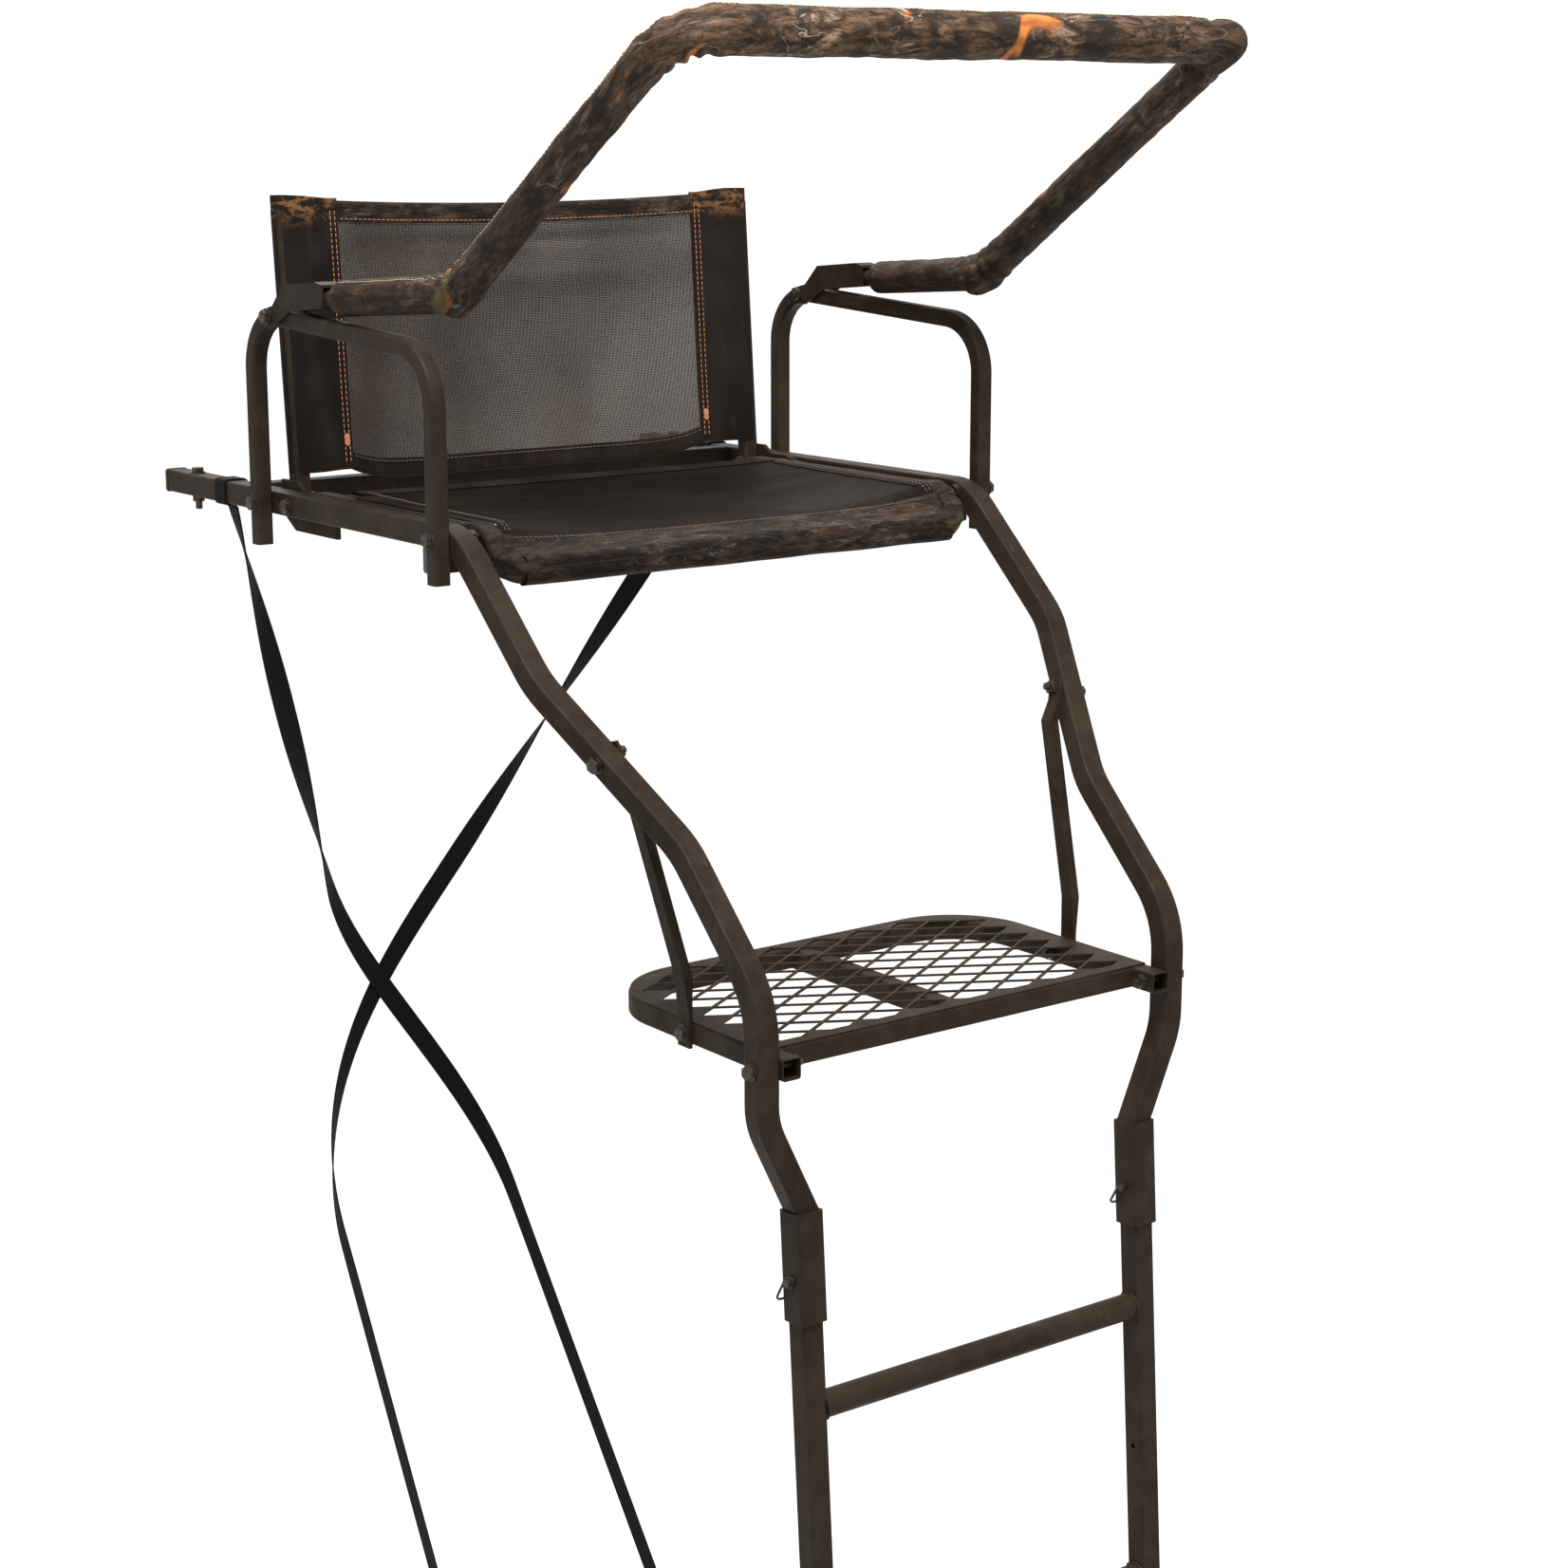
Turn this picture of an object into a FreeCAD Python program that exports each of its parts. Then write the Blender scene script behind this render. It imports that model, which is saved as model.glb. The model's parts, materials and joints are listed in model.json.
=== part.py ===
import FreeCAD, Part
import math
import os
from FreeCAD import Vector

# Ladder tree stand: a seat and a foot platform on two bent side rails, over a
# three-section pinned ladder.  Millimetres.  Z is up, +Y points at the tree and
# X runs across the seat.  The origin is the point where the front of the trunk
# meets the tree brace, level with the middle of the side rails.

# Tubing
main = 25.4             # rails, ladder legs and cross tubes, square
main_wall = 1.5
sleeve = 31.75          # square sleeve over a ladder leg
sleeve_wall = 2.9
arm = 19.05             # armrest hoops and back posts, square
arm_wall = 1.3
seat_tube = 22.0        # seat frame and platform frame, square
seat_wall = 1.4
rung_radius = 14.0
rung_wall = 1.5
bolt_radius = 4.0
plate = 5.0             # brackets

# Seat level
rail_x = 337.0          # middle of each side rail beside the seat
rail_rear = 137.0       # rails reach past the front of the trunk
rail_bend = -505.0      # rails turn down here
hoop_rear = -118.0      # armrest hoop legs
hoop_front = -498.0
hoop_low = -46.0
hoop_rise_rear = 210.0  # hoop height over the rails, at its two corners
hoop_rise_front = 187.0
hoop_bend = 60.0
back_bottom = 37.0      # sling edges
back_top = 324.0
back_lean = 4.4         # degrees
seat_half = 300.0       # middle of the seat frame's side tubes
seat_pivot = -160.0
seat_front = -530.0
seat_z = -1.4           # middle of the seat frame, clear of its rest tube by 0.3
seat_drop = -32.0       # the front tube hangs lower than the seat's sides
seat_roll = 274.0       # the sling is rolled round the straight part of its tubes
rest_y = -470.0

# Foot platform
foot_top = -457.0
foot_rear = -618.0
foot_front = -933.0
foot_bar = -890.0
foot_corner = 85.0
rail_low_x = 266.0      # middle of each rail beside the platform
mesh_thick = 1.8
mesh_long = 59.0        # expanded mesh, long and short way of one diamond
mesh_short = 35.0
strand = 3.0

# Ladder
ladder_x = 221.0
ladder_y = -920.0
ladder_z = -617.0       # top of the first sleeve
ladder_lean = 4.0       # degrees
sections = 3
rungs = 4               # in each section
rung_step = 305.0
first_rung = 202.5      # from the top of the first sleeve
sleeve_long = 112.0
pin_drop = 70.0         # pin below the top of its sleeve
foot_long = 3700.0      # legs end here, measured down the ladder

# Shooting rail
pivot_y = -172.0
pivot_z = 206.5
grip_x = 341.0          # middle of each padded arm
grip_start = -300.0
grip_bend = -519.0
grip_bend_z = 244.0
grip_front = -889.0
grip_front_z = 490.0
grip_core = 9.5
grip_pad = 19.0

# Tree and stabiliser straps
trunk_radius = 127.0
wrap_y = 165.0          # middle of the trunk at the height where the straps go round it
strap_wide = 25.0
strap_thick = 2.0

running = 0.06          # radial clearance of a turning bolt
snug = 0.3              # clearance of a soft part round its tube
parts = {}


def unit(v):
    return Vector(v).normalize()


def mirrored(shape):
    return shape.mirror(Vector(0, 0, 0), Vector(1, 0, 0))


def group(shapes):
    return Part.makeCompound([s for shape in shapes for s in shape.Solids])


def largest(shape):
    """The body of a trimmed shape, without its offcuts."""
    return max(shape.Solids, key=lambda solid: solid.Volume)


def both_sides(shape):
    return group([shape, mirrored(shape)])


def rounded(width, height, radius):
    """Closed outline of a rounded rectangle, centred in the XY plane."""
    x, y = width / 2, height / 2
    edges = []
    for k, (cx, cy) in enumerate([(x, y), (-x, y), (-x, -y), (x, -y)]):
        turn = math.radians(90 * k)
        c = Vector(cx - math.copysign(radius, cx), cy - math.copysign(radius, cy), 0)
        a, m, b = (c + Vector(radius * math.cos(turn + t), radius * math.sin(turn + t), 0)
                   for t in (0, math.pi / 4, math.pi / 2))
        if edges:
            edges.append(Part.makeLine(edges[-1].Vertexes[-1].Point, a))
        edges.append(Part.Arc(a, m, b).toShape())
    edges.append(Part.makeLine(edges[-1].Vertexes[-1].Point, edges[0].Vertexes[0].Point))
    return Part.Wire(edges)


def placed(shape, point, along, across):
    """The XY section moved to point, its normal turned along the given direction."""
    z = unit(along)
    x = unit(Vector(across) - z * z.dot(Vector(across)))
    shape.Placement = FreeCAD.Placement(Vector(point), FreeCAD.Rotation(x, z.cross(x), z, "ZXY"))
    return shape


def hollow(outer, inner):
    return Part.Face(outer).cut(Part.Face(inner)).Faces[0]


def square_face(size, wall, radius):
    inner = size - 2 * wall
    return hollow(rounded(size, size, radius), rounded(inner, inner, max(radius - wall, 0.6)))


def ring_face(radius, wall):
    return hollow(*(Part.Wire(Part.makeCircle(r)) for r in (radius, radius - wall)))


def straight(face, start, end, across=(1, 0, 0)):
    start, end = Vector(start), Vector(end)
    return placed(face, start, end - start, across).extrude(end - start)


def route(points, radii):
    """Straight runs through the points, joined by tangent arcs."""
    points = [Vector(p) for p in points]
    edges, last = [], points[0]
    for a, b, c, radius in zip(points, points[1:], points[2:], radii, strict=False):
        u, v = unit(a - b), unit(c - b)
        half = u.getAngle(v) / 2
        first, second = (b + w * (radius / math.tan(half)) for w in (u, v))
        middle = b + unit(u + v) * (radius / math.sin(half) - radius)
        edges += [Part.makeLine(last, first), Part.Arc(first, middle, second).toShape()]
        last = second
    return Part.Wire(edges + [Part.makeLine(last, points[-1])])


def bent(face, points, radii, across=(1, 0, 0)):
    start = Vector(points[0])
    section = placed(face, start, Vector(points[1]) - start, across)
    return swept(route(points, radii), section)


def swept(path, section):
    """The section carried along the path, less the room inside its inner outline."""
    solids = []
    for wire in section.Wires:
        frame = path.makePipeShell([wire], True, False)
        if frame.Volume < 0:
            frame.reverse()
        solids.append(frame)
    return solids[0].cut(solids[1:]) if len(solids) > 1 else solids[0]


def bar(point, along, radius, length):
    """A cylinder centred on the point."""
    along = unit(along)
    return Part.makeCylinder(radius, length, Vector(point) - along * (length / 2), along)


def hexagon(point, along, across_flats, height):
    """A six-sided prism that starts at the point."""
    r = across_flats / math.sqrt(3)
    corners = [Vector(r * math.cos(math.radians(60 * k)), r * math.sin(math.radians(60 * k)), 0)
               for k in range(7)]
    along = unit(along)
    side = Vector(0, 0, 1) if abs(along.z) < 0.9 else Vector(1, 0, 0)
    return placed(Part.Face(Part.makePolygon(corners)), point, along, side).extrude(along * height)


def bolt(start, end, head=13.0, radius=bolt_radius, washer=9.0):
    """A hex bolt whose head bears at start, with its washer, reaching to end."""
    start, end = Vector(start), Vector(end)
    along = unit(end - start)
    shape = Part.makeCylinder(radius, (end - start).Length, start, along)
    shape = shape.fuse(Part.makeCylinder(washer, 1.5, start - along * 1.5, along))
    return shape.fuse(hexagon(start - along * 6.5, along, head, 5.0)).removeSplitter()


def nut(point, along, radius=bolt_radius, flats=13.0):
    """A lock nut that bears at the point and stands up along the direction."""
    body = hexagon(point, along, flats, 7.0)
    return body.cut(Part.makeCylinder(radius, 7.0, Vector(point), unit(along)))


def beyond(point, normal, reach=200.0):
    """A box that fills the space past a plane."""
    box = Part.makeBox(reach, reach, reach, Vector(-reach / 2, -reach / 2, 0))
    box.Placement = FreeCAD.Placement(Vector(point), FreeCAD.Rotation(Vector(0, 0, 1), unit(normal)))
    return box


def band(stations):
    """A flat strip through (point, width direction, width, face normal, thickness) stations."""
    rings = []
    for point, wide, width, normal, thickness in stations:
        point, w, n = Vector(point), unit(wide) * (width / 2), unit(normal) * (thickness / 2)
        ring = [point + w + n, point - w + n, point - w - n, point + w - n]
        rings.append(Part.makePolygon([*ring, ring[0]]))
    return Part.makeLoft(rings, True, True)


# Side rails and what joins them

def rail_points():
    return [
        (rail_x, rail_rear, 0),
        (rail_x, rail_bend, 0),
        (rail_x, -645, -129),
        (rail_low_x, -792, -277),
        (rail_low_x, ladder_y + 3, -402),
        (rail_low_x, ladder_y + 3, -522),
        (ladder_x, ladder_y, ladder_z),
        (ladder_x - 14, ladder_y - 1, ladder_z - 30),
    ]


def down_ladder(s, x=0.0):
    """The point on the ladder's plane at distance s below the first sleeve's top."""
    lean = math.radians(ladder_lean)
    return Vector(x, ladder_y - s * math.sin(lean), ladder_z - s * math.cos(lean))


def ladder_way():
    return down_ladder(1) - down_ladder(0)


def brace_bolt():
    """Middle of the rail at the platform brace's top bolt, and the face normal inwards."""
    upper, lower = (Vector(rail_points()[k]) for k in (2, 3))
    along = unit(lower - upper)
    inward = unit(Vector(-1, 0, 0) + along * along.x)
    return upper + (lower - upper) * 0.46, inward


def make_side_rail():
    points = rail_points()
    points[6:] = [Vector(points[6]) + unit(Vector(points[6]) - Vector(points[5])) * 30]
    face = square_face(main, main_wall, 3.0)
    shape = bent(face, points, [75, 110, 110, 100, 80])
    shape = shape.cut(beyond((ladder_x, ladder_y, ladder_z), ladder_way()))
    for y, z in ((hoop_rear, 0), (hoop_front, 0), (seat_pivot, seat_z)):
        shape = shape.cut(bar((rail_x, y, z), (1, 0, 0), bolt_radius, 40))
    middle, inward = brace_bolt()
    shape = shape.cut(bar(middle, inward, bolt_radius, 50))
    shape = shape.cut(bar((rail_low_x, ladder_y + 3, foot_top - seat_tube / 2), (1, 0, 0), bolt_radius, 50))
    return shape.cut(bar((rail_x, 82, 0), (0, 0, 1), bolt_radius, 50))


def end_cap(face_point, outward, size):
    """A plastic cap that closes the end of a square tube."""
    across = (1, 0, 0) if abs(Vector(outward).x) < 0.5 else (0, 1, 0)
    start = Vector(face_point)
    outer = placed(Part.Face(rounded(size + 1.6, size + 1.6, 3.5)), start, outward, across)
    plug_size = size - 2 * main_wall
    plug = placed(Part.Face(rounded(plug_size, plug_size, 1.5)), start, outward, across)
    return outer.extrude(unit(outward) * 3).fuse(plug.extrude(unit(outward) * -14)).removeSplitter()


def make_rails():
    right = make_side_rail()
    parts["side_rail_right"] = right
    parts["side_rail_left"] = mirrored(right)
    parts["rail_end_caps"] = both_sides(end_cap((rail_x, rail_rear, 0), (0, 1, 0), main))


def make_tree_brace():
    inner = rail_x - main / 2
    cross_y = -45.0
    face = square_face(main, main_wall, 3.0)
    parts["rear_cross_tube"] = straight(face, (-inner, cross_y, 0), (inner, cross_y, 0), (0, 1, 0))
    back = cross_y + main / 2
    reach, spread, apex, teeth, tooth = 38.0, 95.0, -24.0, 7, 5.0
    notch = []
    for k in range(teeth):
        for t, bite in ((k, 0), (k + 0.5, tooth)):
            x = spread * (1 - t / teeth)
            notch.append((x, reach - (reach - apex) * t / teeth + bite * 0.6))
    outline = [(spread + 12, back), (spread + 12, reach + 6), *notch, (0, apex)]
    outline += [(-x, y) for x, y in reversed(notch)]
    outline += [(-spread - 12, reach + 6), (-spread - 12, back)]
    corners = [Vector(x, y, 0) for x, y in [*outline, outline[0]]]
    jaw = Part.Face(Part.makePolygon(corners)).extrude(Vector(0, 0, 4))
    low, high = jaw.copy(), jaw.copy()
    low.translate(Vector(0, 0, -main / 2))
    high.translate(Vector(0, 0, main / 2 - 4))
    web = Part.makeBox(2 * spread + 24, 4, main, Vector(-spread - 12, back, -main / 2))
    parts["tree_brace"] = low.fuse([high, web]).removeSplitter()


def make_rail_hardware():
    start, end = rail_x + main / 2 + arm, rail_x - main / 2 - plate - arm
    bolts = [bolt((start, hoop_rear, 0), (end - 12, hoop_rear, 0)),
             bolt((start, hoop_front, 0), (rail_x - main / 2 - 12, hoop_front, 0))]
    nuts = [nut((end, hoop_rear, 0), (-1, 0, 0)),
            nut((rail_x - main / 2, hoop_front, 0), (-1, 0, 0))]
    parts["armrest_bolts"] = both_sides(group(bolts))
    parts["armrest_nuts"] = both_sides(group(nuts))
    anchor = bolt((rail_x, 82, main / 2), (rail_x, 82, -main / 2 - 16))
    parts["tree_strap_bolts"] = both_sides(group([anchor, nut((rail_x, 82, -main / 2), (0, 0, -1))]))


# Armrests and back

def make_armrests():
    x = rail_x + main / 2 + arm / 2
    points = [(x, hoop_rear, hoop_low), (x, hoop_rear, hoop_rise_rear),
              (x, hoop_front, hoop_rise_front), (x, hoop_front, hoop_low)]
    hoop = bent(square_face(arm, arm_wall, 4.0), points, [hoop_bend, hoop_bend])
    for y in (hoop_rear, hoop_front):
        hoop = hoop.cut(bar((x, y, 0), (1, 0, 0), bolt_radius, 40))
    hoop = hoop.cut(bar((x, pivot_y, pivot_z), (1, 0, 0), bolt_radius, 40))
    parts["armrest_right"] = hoop
    parts["armrest_left"] = mirrored(hoop)


def back_point(z, x=0.0):
    return Vector(x, hoop_rear + z * math.tan(math.radians(back_lean)), z)


def make_back():
    x = rail_x - main / 2 - plate - arm / 2
    post = straight(square_face(arm, arm_wall, 4.0), back_point(-16, x), back_point(back_top - 8, x))
    post = post.cut(bar((x, hoop_rear, 0), (1, 0, 0), bolt_radius, 40))
    parts["back_post_right"] = post
    parts["back_post_left"] = mirrored(post)
    outline = [(18, -14), (18, 22), (-18, 22), (-32, 12.7), (-62, 12.7), (-106, 4), (-106, -33), (-12, -33)]
    inner = rail_x - main / 2 - plate
    corners = [Vector(inner, hoop_rear + y, z) for y, z in [*outline, outline[0]]]
    bracket = Part.Face(Part.makePolygon(corners)).extrude(Vector(plate, 0, 0))
    holes = [bar((x, hoop_rear, 0), (1, 0, 0), bolt_radius, 60),
             bar((x, seat_pivot, seat_z), (1, 0, 0), bolt_radius, 60)]
    parts["seat_brackets"] = both_sides(bracket.cut(holes))


def sling_sheet(half_span, sag, thickness):
    """Section of a hanging sheet between two tubes, as a face in the XY plane."""
    arcs = [Part.Arc(Vector(-half_span, t, 0), Vector(0, t + sag, 0), Vector(half_span, t, 0)).toShape()
            for t in (thickness / 2, -thickness / 2)]
    ends = [Part.makeLine(Vector(s * half_span, -thickness / 2, 0), Vector(s * half_span, thickness / 2, 0))
            for s in (-1, 1)]
    return Part.Face(Part.Wire(Part.__sortEdges__([*arcs, *ends])))


def make_back_sling():
    x = rail_x - main / 2 - plate - arm / 2
    low, high = back_point(back_bottom), back_point(back_top)
    up = high - low
    sheet = placed(sling_sheet(x - arm / 2, 22.0, 3.0), low, up, (1, 0, 0)).extrude(up)
    loop = square_face(arm + 2 * snug + 5.0, 2.5, 4.0)
    loops = [placed(loop.copy(), low + Vector(s * x, 0, 0), up, (1, 0, 0)).extrude(up) for s in (-1, 1)]
    shape = sheet.fuse(loops)
    room = [placed(Part.Face(rounded(arm + 2 * snug, arm + 2 * snug, 3.0)), low + Vector(s * x, 0, 0), up,
                   (1, 0, 0)).extrude(up) for s in (-1, 1)]
    parts["back_sling"] = shape.cut(room).removeSplitter()


# Flip-up seat

def seat_path():
    side = [(seat_half, seat_pivot + 14, seat_z), (seat_half, seat_front + 36, seat_z),
            (seat_half, seat_front, seat_drop)]
    return side + [(-x, y, z) for x, y, z in reversed(side)], [28, 24, 24, 28]


def make_seat_frame():
    face = square_face(seat_tube, seat_wall, 3.0)
    hole = bar((0, seat_pivot, seat_z), (1, 0, 0), bolt_radius + running, 700)
    parts["seat_frame"] = bent(face, *seat_path()).cut(hole)
    inner = seat_half - seat_tube / 2
    rear = [(x, seat_pivot - 32, seat_z) for x in (-inner, inner)]
    parts["seat_rear_tube"] = straight(face, *rear, (0, 1, 0))


def make_seat_sling():
    half = seat_half - seat_tube / 2 - 3
    front = Vector(-half, seat_front, seat_drop)
    rear = Vector(-half, seat_pivot - 32, seat_z)
    across = Vector(2 * half, 0, 0)
    size = seat_tube + 2 * snug
    top = Vector(0, 0, size / 2)
    a, b = front + Vector(0, 6, 0) + top, rear + Vector(0, -10, 0) + top
    over = Vector(-half, rest_y - 15, -10.3)
    mid = Vector(-half, (over.y + b.y) / 2, -6.5)
    thick = Vector(0, 0, 3)
    section = []
    for t in (Vector(), thick):
        section += [Part.Arc(b + t, mid + t, over + t).toShape(), Part.makeLine(over + t, a + t)]
    section += [Part.makeLine(p, p + thick) for p in (a, b)]
    sheet = Part.Face(Part.Wire(Part.__sortEdges__(section))).extrude(across)
    rolled = Vector(2 * seat_roll, 0, 0)
    outer = [placed(Part.Face(rounded(size + 6, size + 6, 4)), Vector(-seat_roll, p.y, p.z), rolled,
                    (0, 1, 0)).extrude(rolled) for p in (front, rear)]
    rear_room = placed(Part.Face(rounded(size, size, 3)), rear, across, (0, 1, 0)).extrude(across)
    frame_room = bent(Part.Face(rounded(size, size, 3)), *seat_path())
    sling = sheet.fuse(outer).cut([rear_room, frame_room]).removeSplitter()
    parts["seat_sling"] = largest(sling)


def make_seat_pivots():
    outside, inside = rail_x + main / 2, seat_half - seat_tube / 2
    pin = bolt((outside, seat_pivot, seat_z), (inside - 12, seat_pivot, seat_z))
    locknut = nut((inside - snug, seat_pivot, seat_z), (-1, 0, 0))
    parts["seat_pivot_bolts"] = both_sides(group([pin, locknut]))
    start, end = seat_half + seat_tube / 2 + snug, rail_x - main / 2 - plate
    sleeve_face = hollow(*(Part.Wire(Part.makeCircle(r)) for r in (8.0, bolt_radius)))
    spacer = straight(sleeve_face, (start, seat_pivot, seat_z), (end, seat_pivot, seat_z), (0, 1, 0))
    parts["seat_spacers"] = both_sides(spacer)


def make_seat_rest():
    length = rail_x + main / 2
    low = -main
    face = square_face(main, main_wall, 3.0)
    parts["seat_rest_tube"] = straight(face, (-length, rest_y, low), (length, rest_y, low), (0, 1, 0))
    parts["seat_rest_caps"] = both_sides(end_cap((length, rest_y, low), (1, 0, 0), main))


# Foot platform

def make_platform():
    z = foot_top - seat_tube / 2
    x = rail_low_x - main / 2 - seat_tube / 2
    face = square_face(seat_tube, seat_wall, 3.0)
    points = [(x, foot_front, z), (x, foot_rear, z), (-x, foot_rear, z), (-x, foot_front, z)]
    frame = bent(face, points, [foot_corner, foot_corner])
    bolt_line = bar((0, ladder_y + 3, z), (1, 0, 0), bolt_radius, 600)
    brace_y = brace_end().y
    frame = frame.cut([bolt_line, bar((0, brace_y, z), (1, 0, 0), bolt_radius, 600)])
    parts["platform_frame"] = frame
    edge = x - seat_tube / 2
    parts["platform_front_bar"] = straight(face, (-edge, foot_bar, z), (edge, foot_bar, z), (0, 1, 0))
    parts["platform_centre_bar"] = straight(
        face, (0, foot_bar + seat_tube / 2, z), (0, foot_rear - seat_tube / 2, z))


def make_platform_mesh():
    x = rail_low_x - main / 2 - 2
    front, rear = foot_bar - seat_tube / 2 + 1, foot_rear + seat_tube / 2 - 2
    middle = Vector(0, (front + rear) / 2, foot_top)
    sheet = Part.makeBox(2 * x, rear - front, mesh_thick, Vector(-x, front, foot_top))
    upright = [e for e in sheet.Edges if abs(e.Vertexes[0].Z - e.Vertexes[1].Z) > 1
               and e.Vertexes[0].Y > middle.y]
    sheet = sheet.makeFillet(foot_corner + 8, upright)
    a, b = mesh_long / 2 - strand * 0.95, mesh_short / 2 - strand * 0.62
    corners = [Vector(a, 0, 0), Vector(0, b, 0), Vector(-a, 0, 0), Vector(0, -b, 0), Vector(a, 0, 0)]
    hole = Part.Face(Part.makePolygon(corners)).extrude(Vector(0, 0, 2 * mesh_thick))
    holes = []
    for row in range(-8, 9):
        for column in range(-5, 6):
            shift = 0.5 * (row % 2)
            y = middle.y + row * mesh_short / 2
            place = Vector((column + shift) * mesh_long, y, foot_top - mesh_thick / 2)
            inside = abs(place.x) + a < x - 1 and front + b + 1 < y < rear - b - 1
            if inside and inside_corner(place, x, rear):
                copy = hole.copy()
                copy.translate(place)
                holes.append(copy)
    parts["platform_mesh"] = sheet.cut(Part.makeCompound(holes))


def inside_corner(place, x, rear):
    """Whether a diamond here stays clear of the sheet's rounded rear corners."""
    radius = foot_corner + 8
    over_x, over_y = abs(place.x) - (x - radius), place.y - (rear - radius)
    return not (over_x > 0 and over_y > 0 and math.hypot(over_x, over_y) > radius - 30)


def brace_end():
    return Vector(rail_low_x - main / 2 + 2, -776, foot_top - seat_tube / 2)


def make_platform_braces():
    middle, inward = brace_bolt()
    top = middle + inward * (main / 2 + 2.3)
    low = brace_end()
    run = unit(low - top)
    slide = unit(run - inward * run.dot(inward))
    edge = slide.cross(inward)
    side, back = Vector(-1, 0, 0), Vector(0, 1, 0)
    knee = top + slide * 36
    ankle = low + Vector(0, 0, 38)
    strip = band([
        (top - slide * 13, edge, 20.0, inward, 4.0),
        (top + slide * 13, edge, 21.0, inward, 4.0),
        (knee + side * 4.5, back, 16.0, side, 11.0),
        (ankle + Vector(1.5, 0, 20), back, 16.0, side, 11.0),
        (ankle - Vector(0, 0, 18), back, 20.0, side, 4.0),
        (low - Vector(0, 0, 14), back, 20.0, side, 4.0),
    ])
    strip = strip.cut([bar(top, inward, bolt_radius, 20), bar(low, (1, 0, 0), bolt_radius, 20)])
    parts["platform_brace_right"] = strip
    parts["platform_brace_left"] = mirrored(strip)


def make_platform_bolts():
    z = foot_top - seat_tube / 2
    outer, inner = rail_low_x + main / 2, rail_low_x - main / 2 - seat_tube
    front = [bolt((outer, ladder_y + 3, z), (inner - 12, ladder_y + 3, z)),
             nut((inner, ladder_y + 3, z), (-1, 0, 0))]
    middle, inward = brace_bolt()
    top = [bolt(middle - inward * (main / 2 + snug), middle + inward * (main / 2 + 16)),
           nut(middle + inward * (main / 2 + 4.3), inward)]
    y = brace_end().y
    low = [bolt((rail_low_x - main / 2 + 4, y, z), (inner - 12, y, z)),
           nut((inner, y, z), (-1, 0, 0))]
    parts["platform_bolts"] = both_sides(group(front))
    parts["brace_bolts"] = both_sides(group(top + low))


# Ladder

def joint_at(k):
    """Distance down the ladder of the top of sleeve k."""
    return k * rungs * rung_step


def make_ladder():
    leg = square_face(main, main_wall, 3.0)
    over = square_face(sleeve, sleeve_wall, 3.5)
    drill = bar((0, 0, 0), (1, 0, 0), bolt_radius, 700)
    for k in range(sections):
        last = k == sections - 1
        start = joint_at(k) + (22 if k == 0 else 26)
        end = foot_long if last else joint_at(k + 1) + 20
        tube = straight(leg.copy(), down_ladder(start, ladder_x), down_ladder(end, ladder_x))
        cuts = [drill.translated(down_ladder(joint_at(k) + pin_drop))]
        cuts.append(bar(down_ladder(joint_at(k) + 360, ladder_x - main / 2), (1, 0, 0), 3.0, 8))
        tube = tube.cut(cuts)
        if last:
            tube = tube.cut(beyond(down_ladder(foot_long - 8, ladder_x), (0, 0, -1)))
        parts[f"ladder_leg_right_{k + 1}"] = tube
        parts[f"ladder_leg_left_{k + 1}"] = mirrored(tube)
        steps = []
        for n in range(rungs):
            at = joint_at(k) + first_rung + n * rung_step
            inner = ladder_x - main / 2
            steps.append(straight(ring_face(rung_radius, rung_wall), down_ladder(at, -inner),
                                  down_ladder(at, inner), (0, 1, 0)))
        parts[f"ladder_rungs_{k + 1}"] = group(steps)
        tube = straight(over.copy(), down_ladder(joint_at(k), ladder_x),
                        down_ladder(joint_at(k) + sleeve_long, ladder_x))
        tube = tube.cut(drill.translated(down_ladder(joint_at(k) + pin_drop)))
        parts[f"sleeve_right_{k + 1}"] = tube
        parts[f"sleeve_left_{k + 1}"] = mirrored(tube)


def make_pins():
    pins, bails = [], []
    lean = ladder_way()
    front = unit(Vector(1, 0, 0).cross(lean))
    for k in range(sections):
        centre = down_ladder(joint_at(k) + pin_drop, ladder_x)
        half = sleeve / 2
        pin = Part.makeCylinder(bolt_radius, sleeve + 13, centre - Vector(half + 6, 0, 0), Vector(1, 0, 0))
        collar = Part.makeCylinder(6.5, 3, centre + Vector(half + 0.4, 0, 0), Vector(1, 0, 0))
        pins.append(pin.fuse(collar).removeSplitter())
        side = centre + Vector(half + 5.2, 0, 0)
        drop = lean * 22
        out = front * (half + 4)
        other = centre - Vector(half + 4, 0, 0)
        near = front * (bolt_radius + 1.2)
        points = [side + near, side + out + drop, other + out + drop, other + near]
        bails.append(bent(Part.Face(Part.Wire(Part.makeCircle(1.3))), points, [7, 7]))
    parts["hitch_pins"] = both_sides(group(pins))
    parts["pin_bails"] = both_sides(group(bails))


def make_feet():
    under = down_ladder(foot_long - 8, ladder_x)
    shoe = Part.makeBox(64, 76, 5, Vector(under.x - 32, under.y - 38, under.z - 5))
    edges = [e for e in shoe.Edges if abs(e.Vertexes[0].Z - e.Vertexes[1].Z) > 1]
    shoe = shoe.makeFillet(10, edges)
    rib = Part.makeBox(4, 34, 40, Vector(under.x - 2, under.y, under.z))
    leg = straight(Part.Face(rounded(main, main, 3.0)), down_ladder(foot_long - 100, ladder_x),
                   down_ladder(foot_long, ladder_x))
    parts["foot_plate_right"] = shoe.fuse(rib.cut(leg).cut(beyond(under, (0, -1, 0)))).removeSplitter()
    parts["foot_plate_left"] = mirrored(parts["foot_plate_right"])


# Shooting rail

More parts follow.
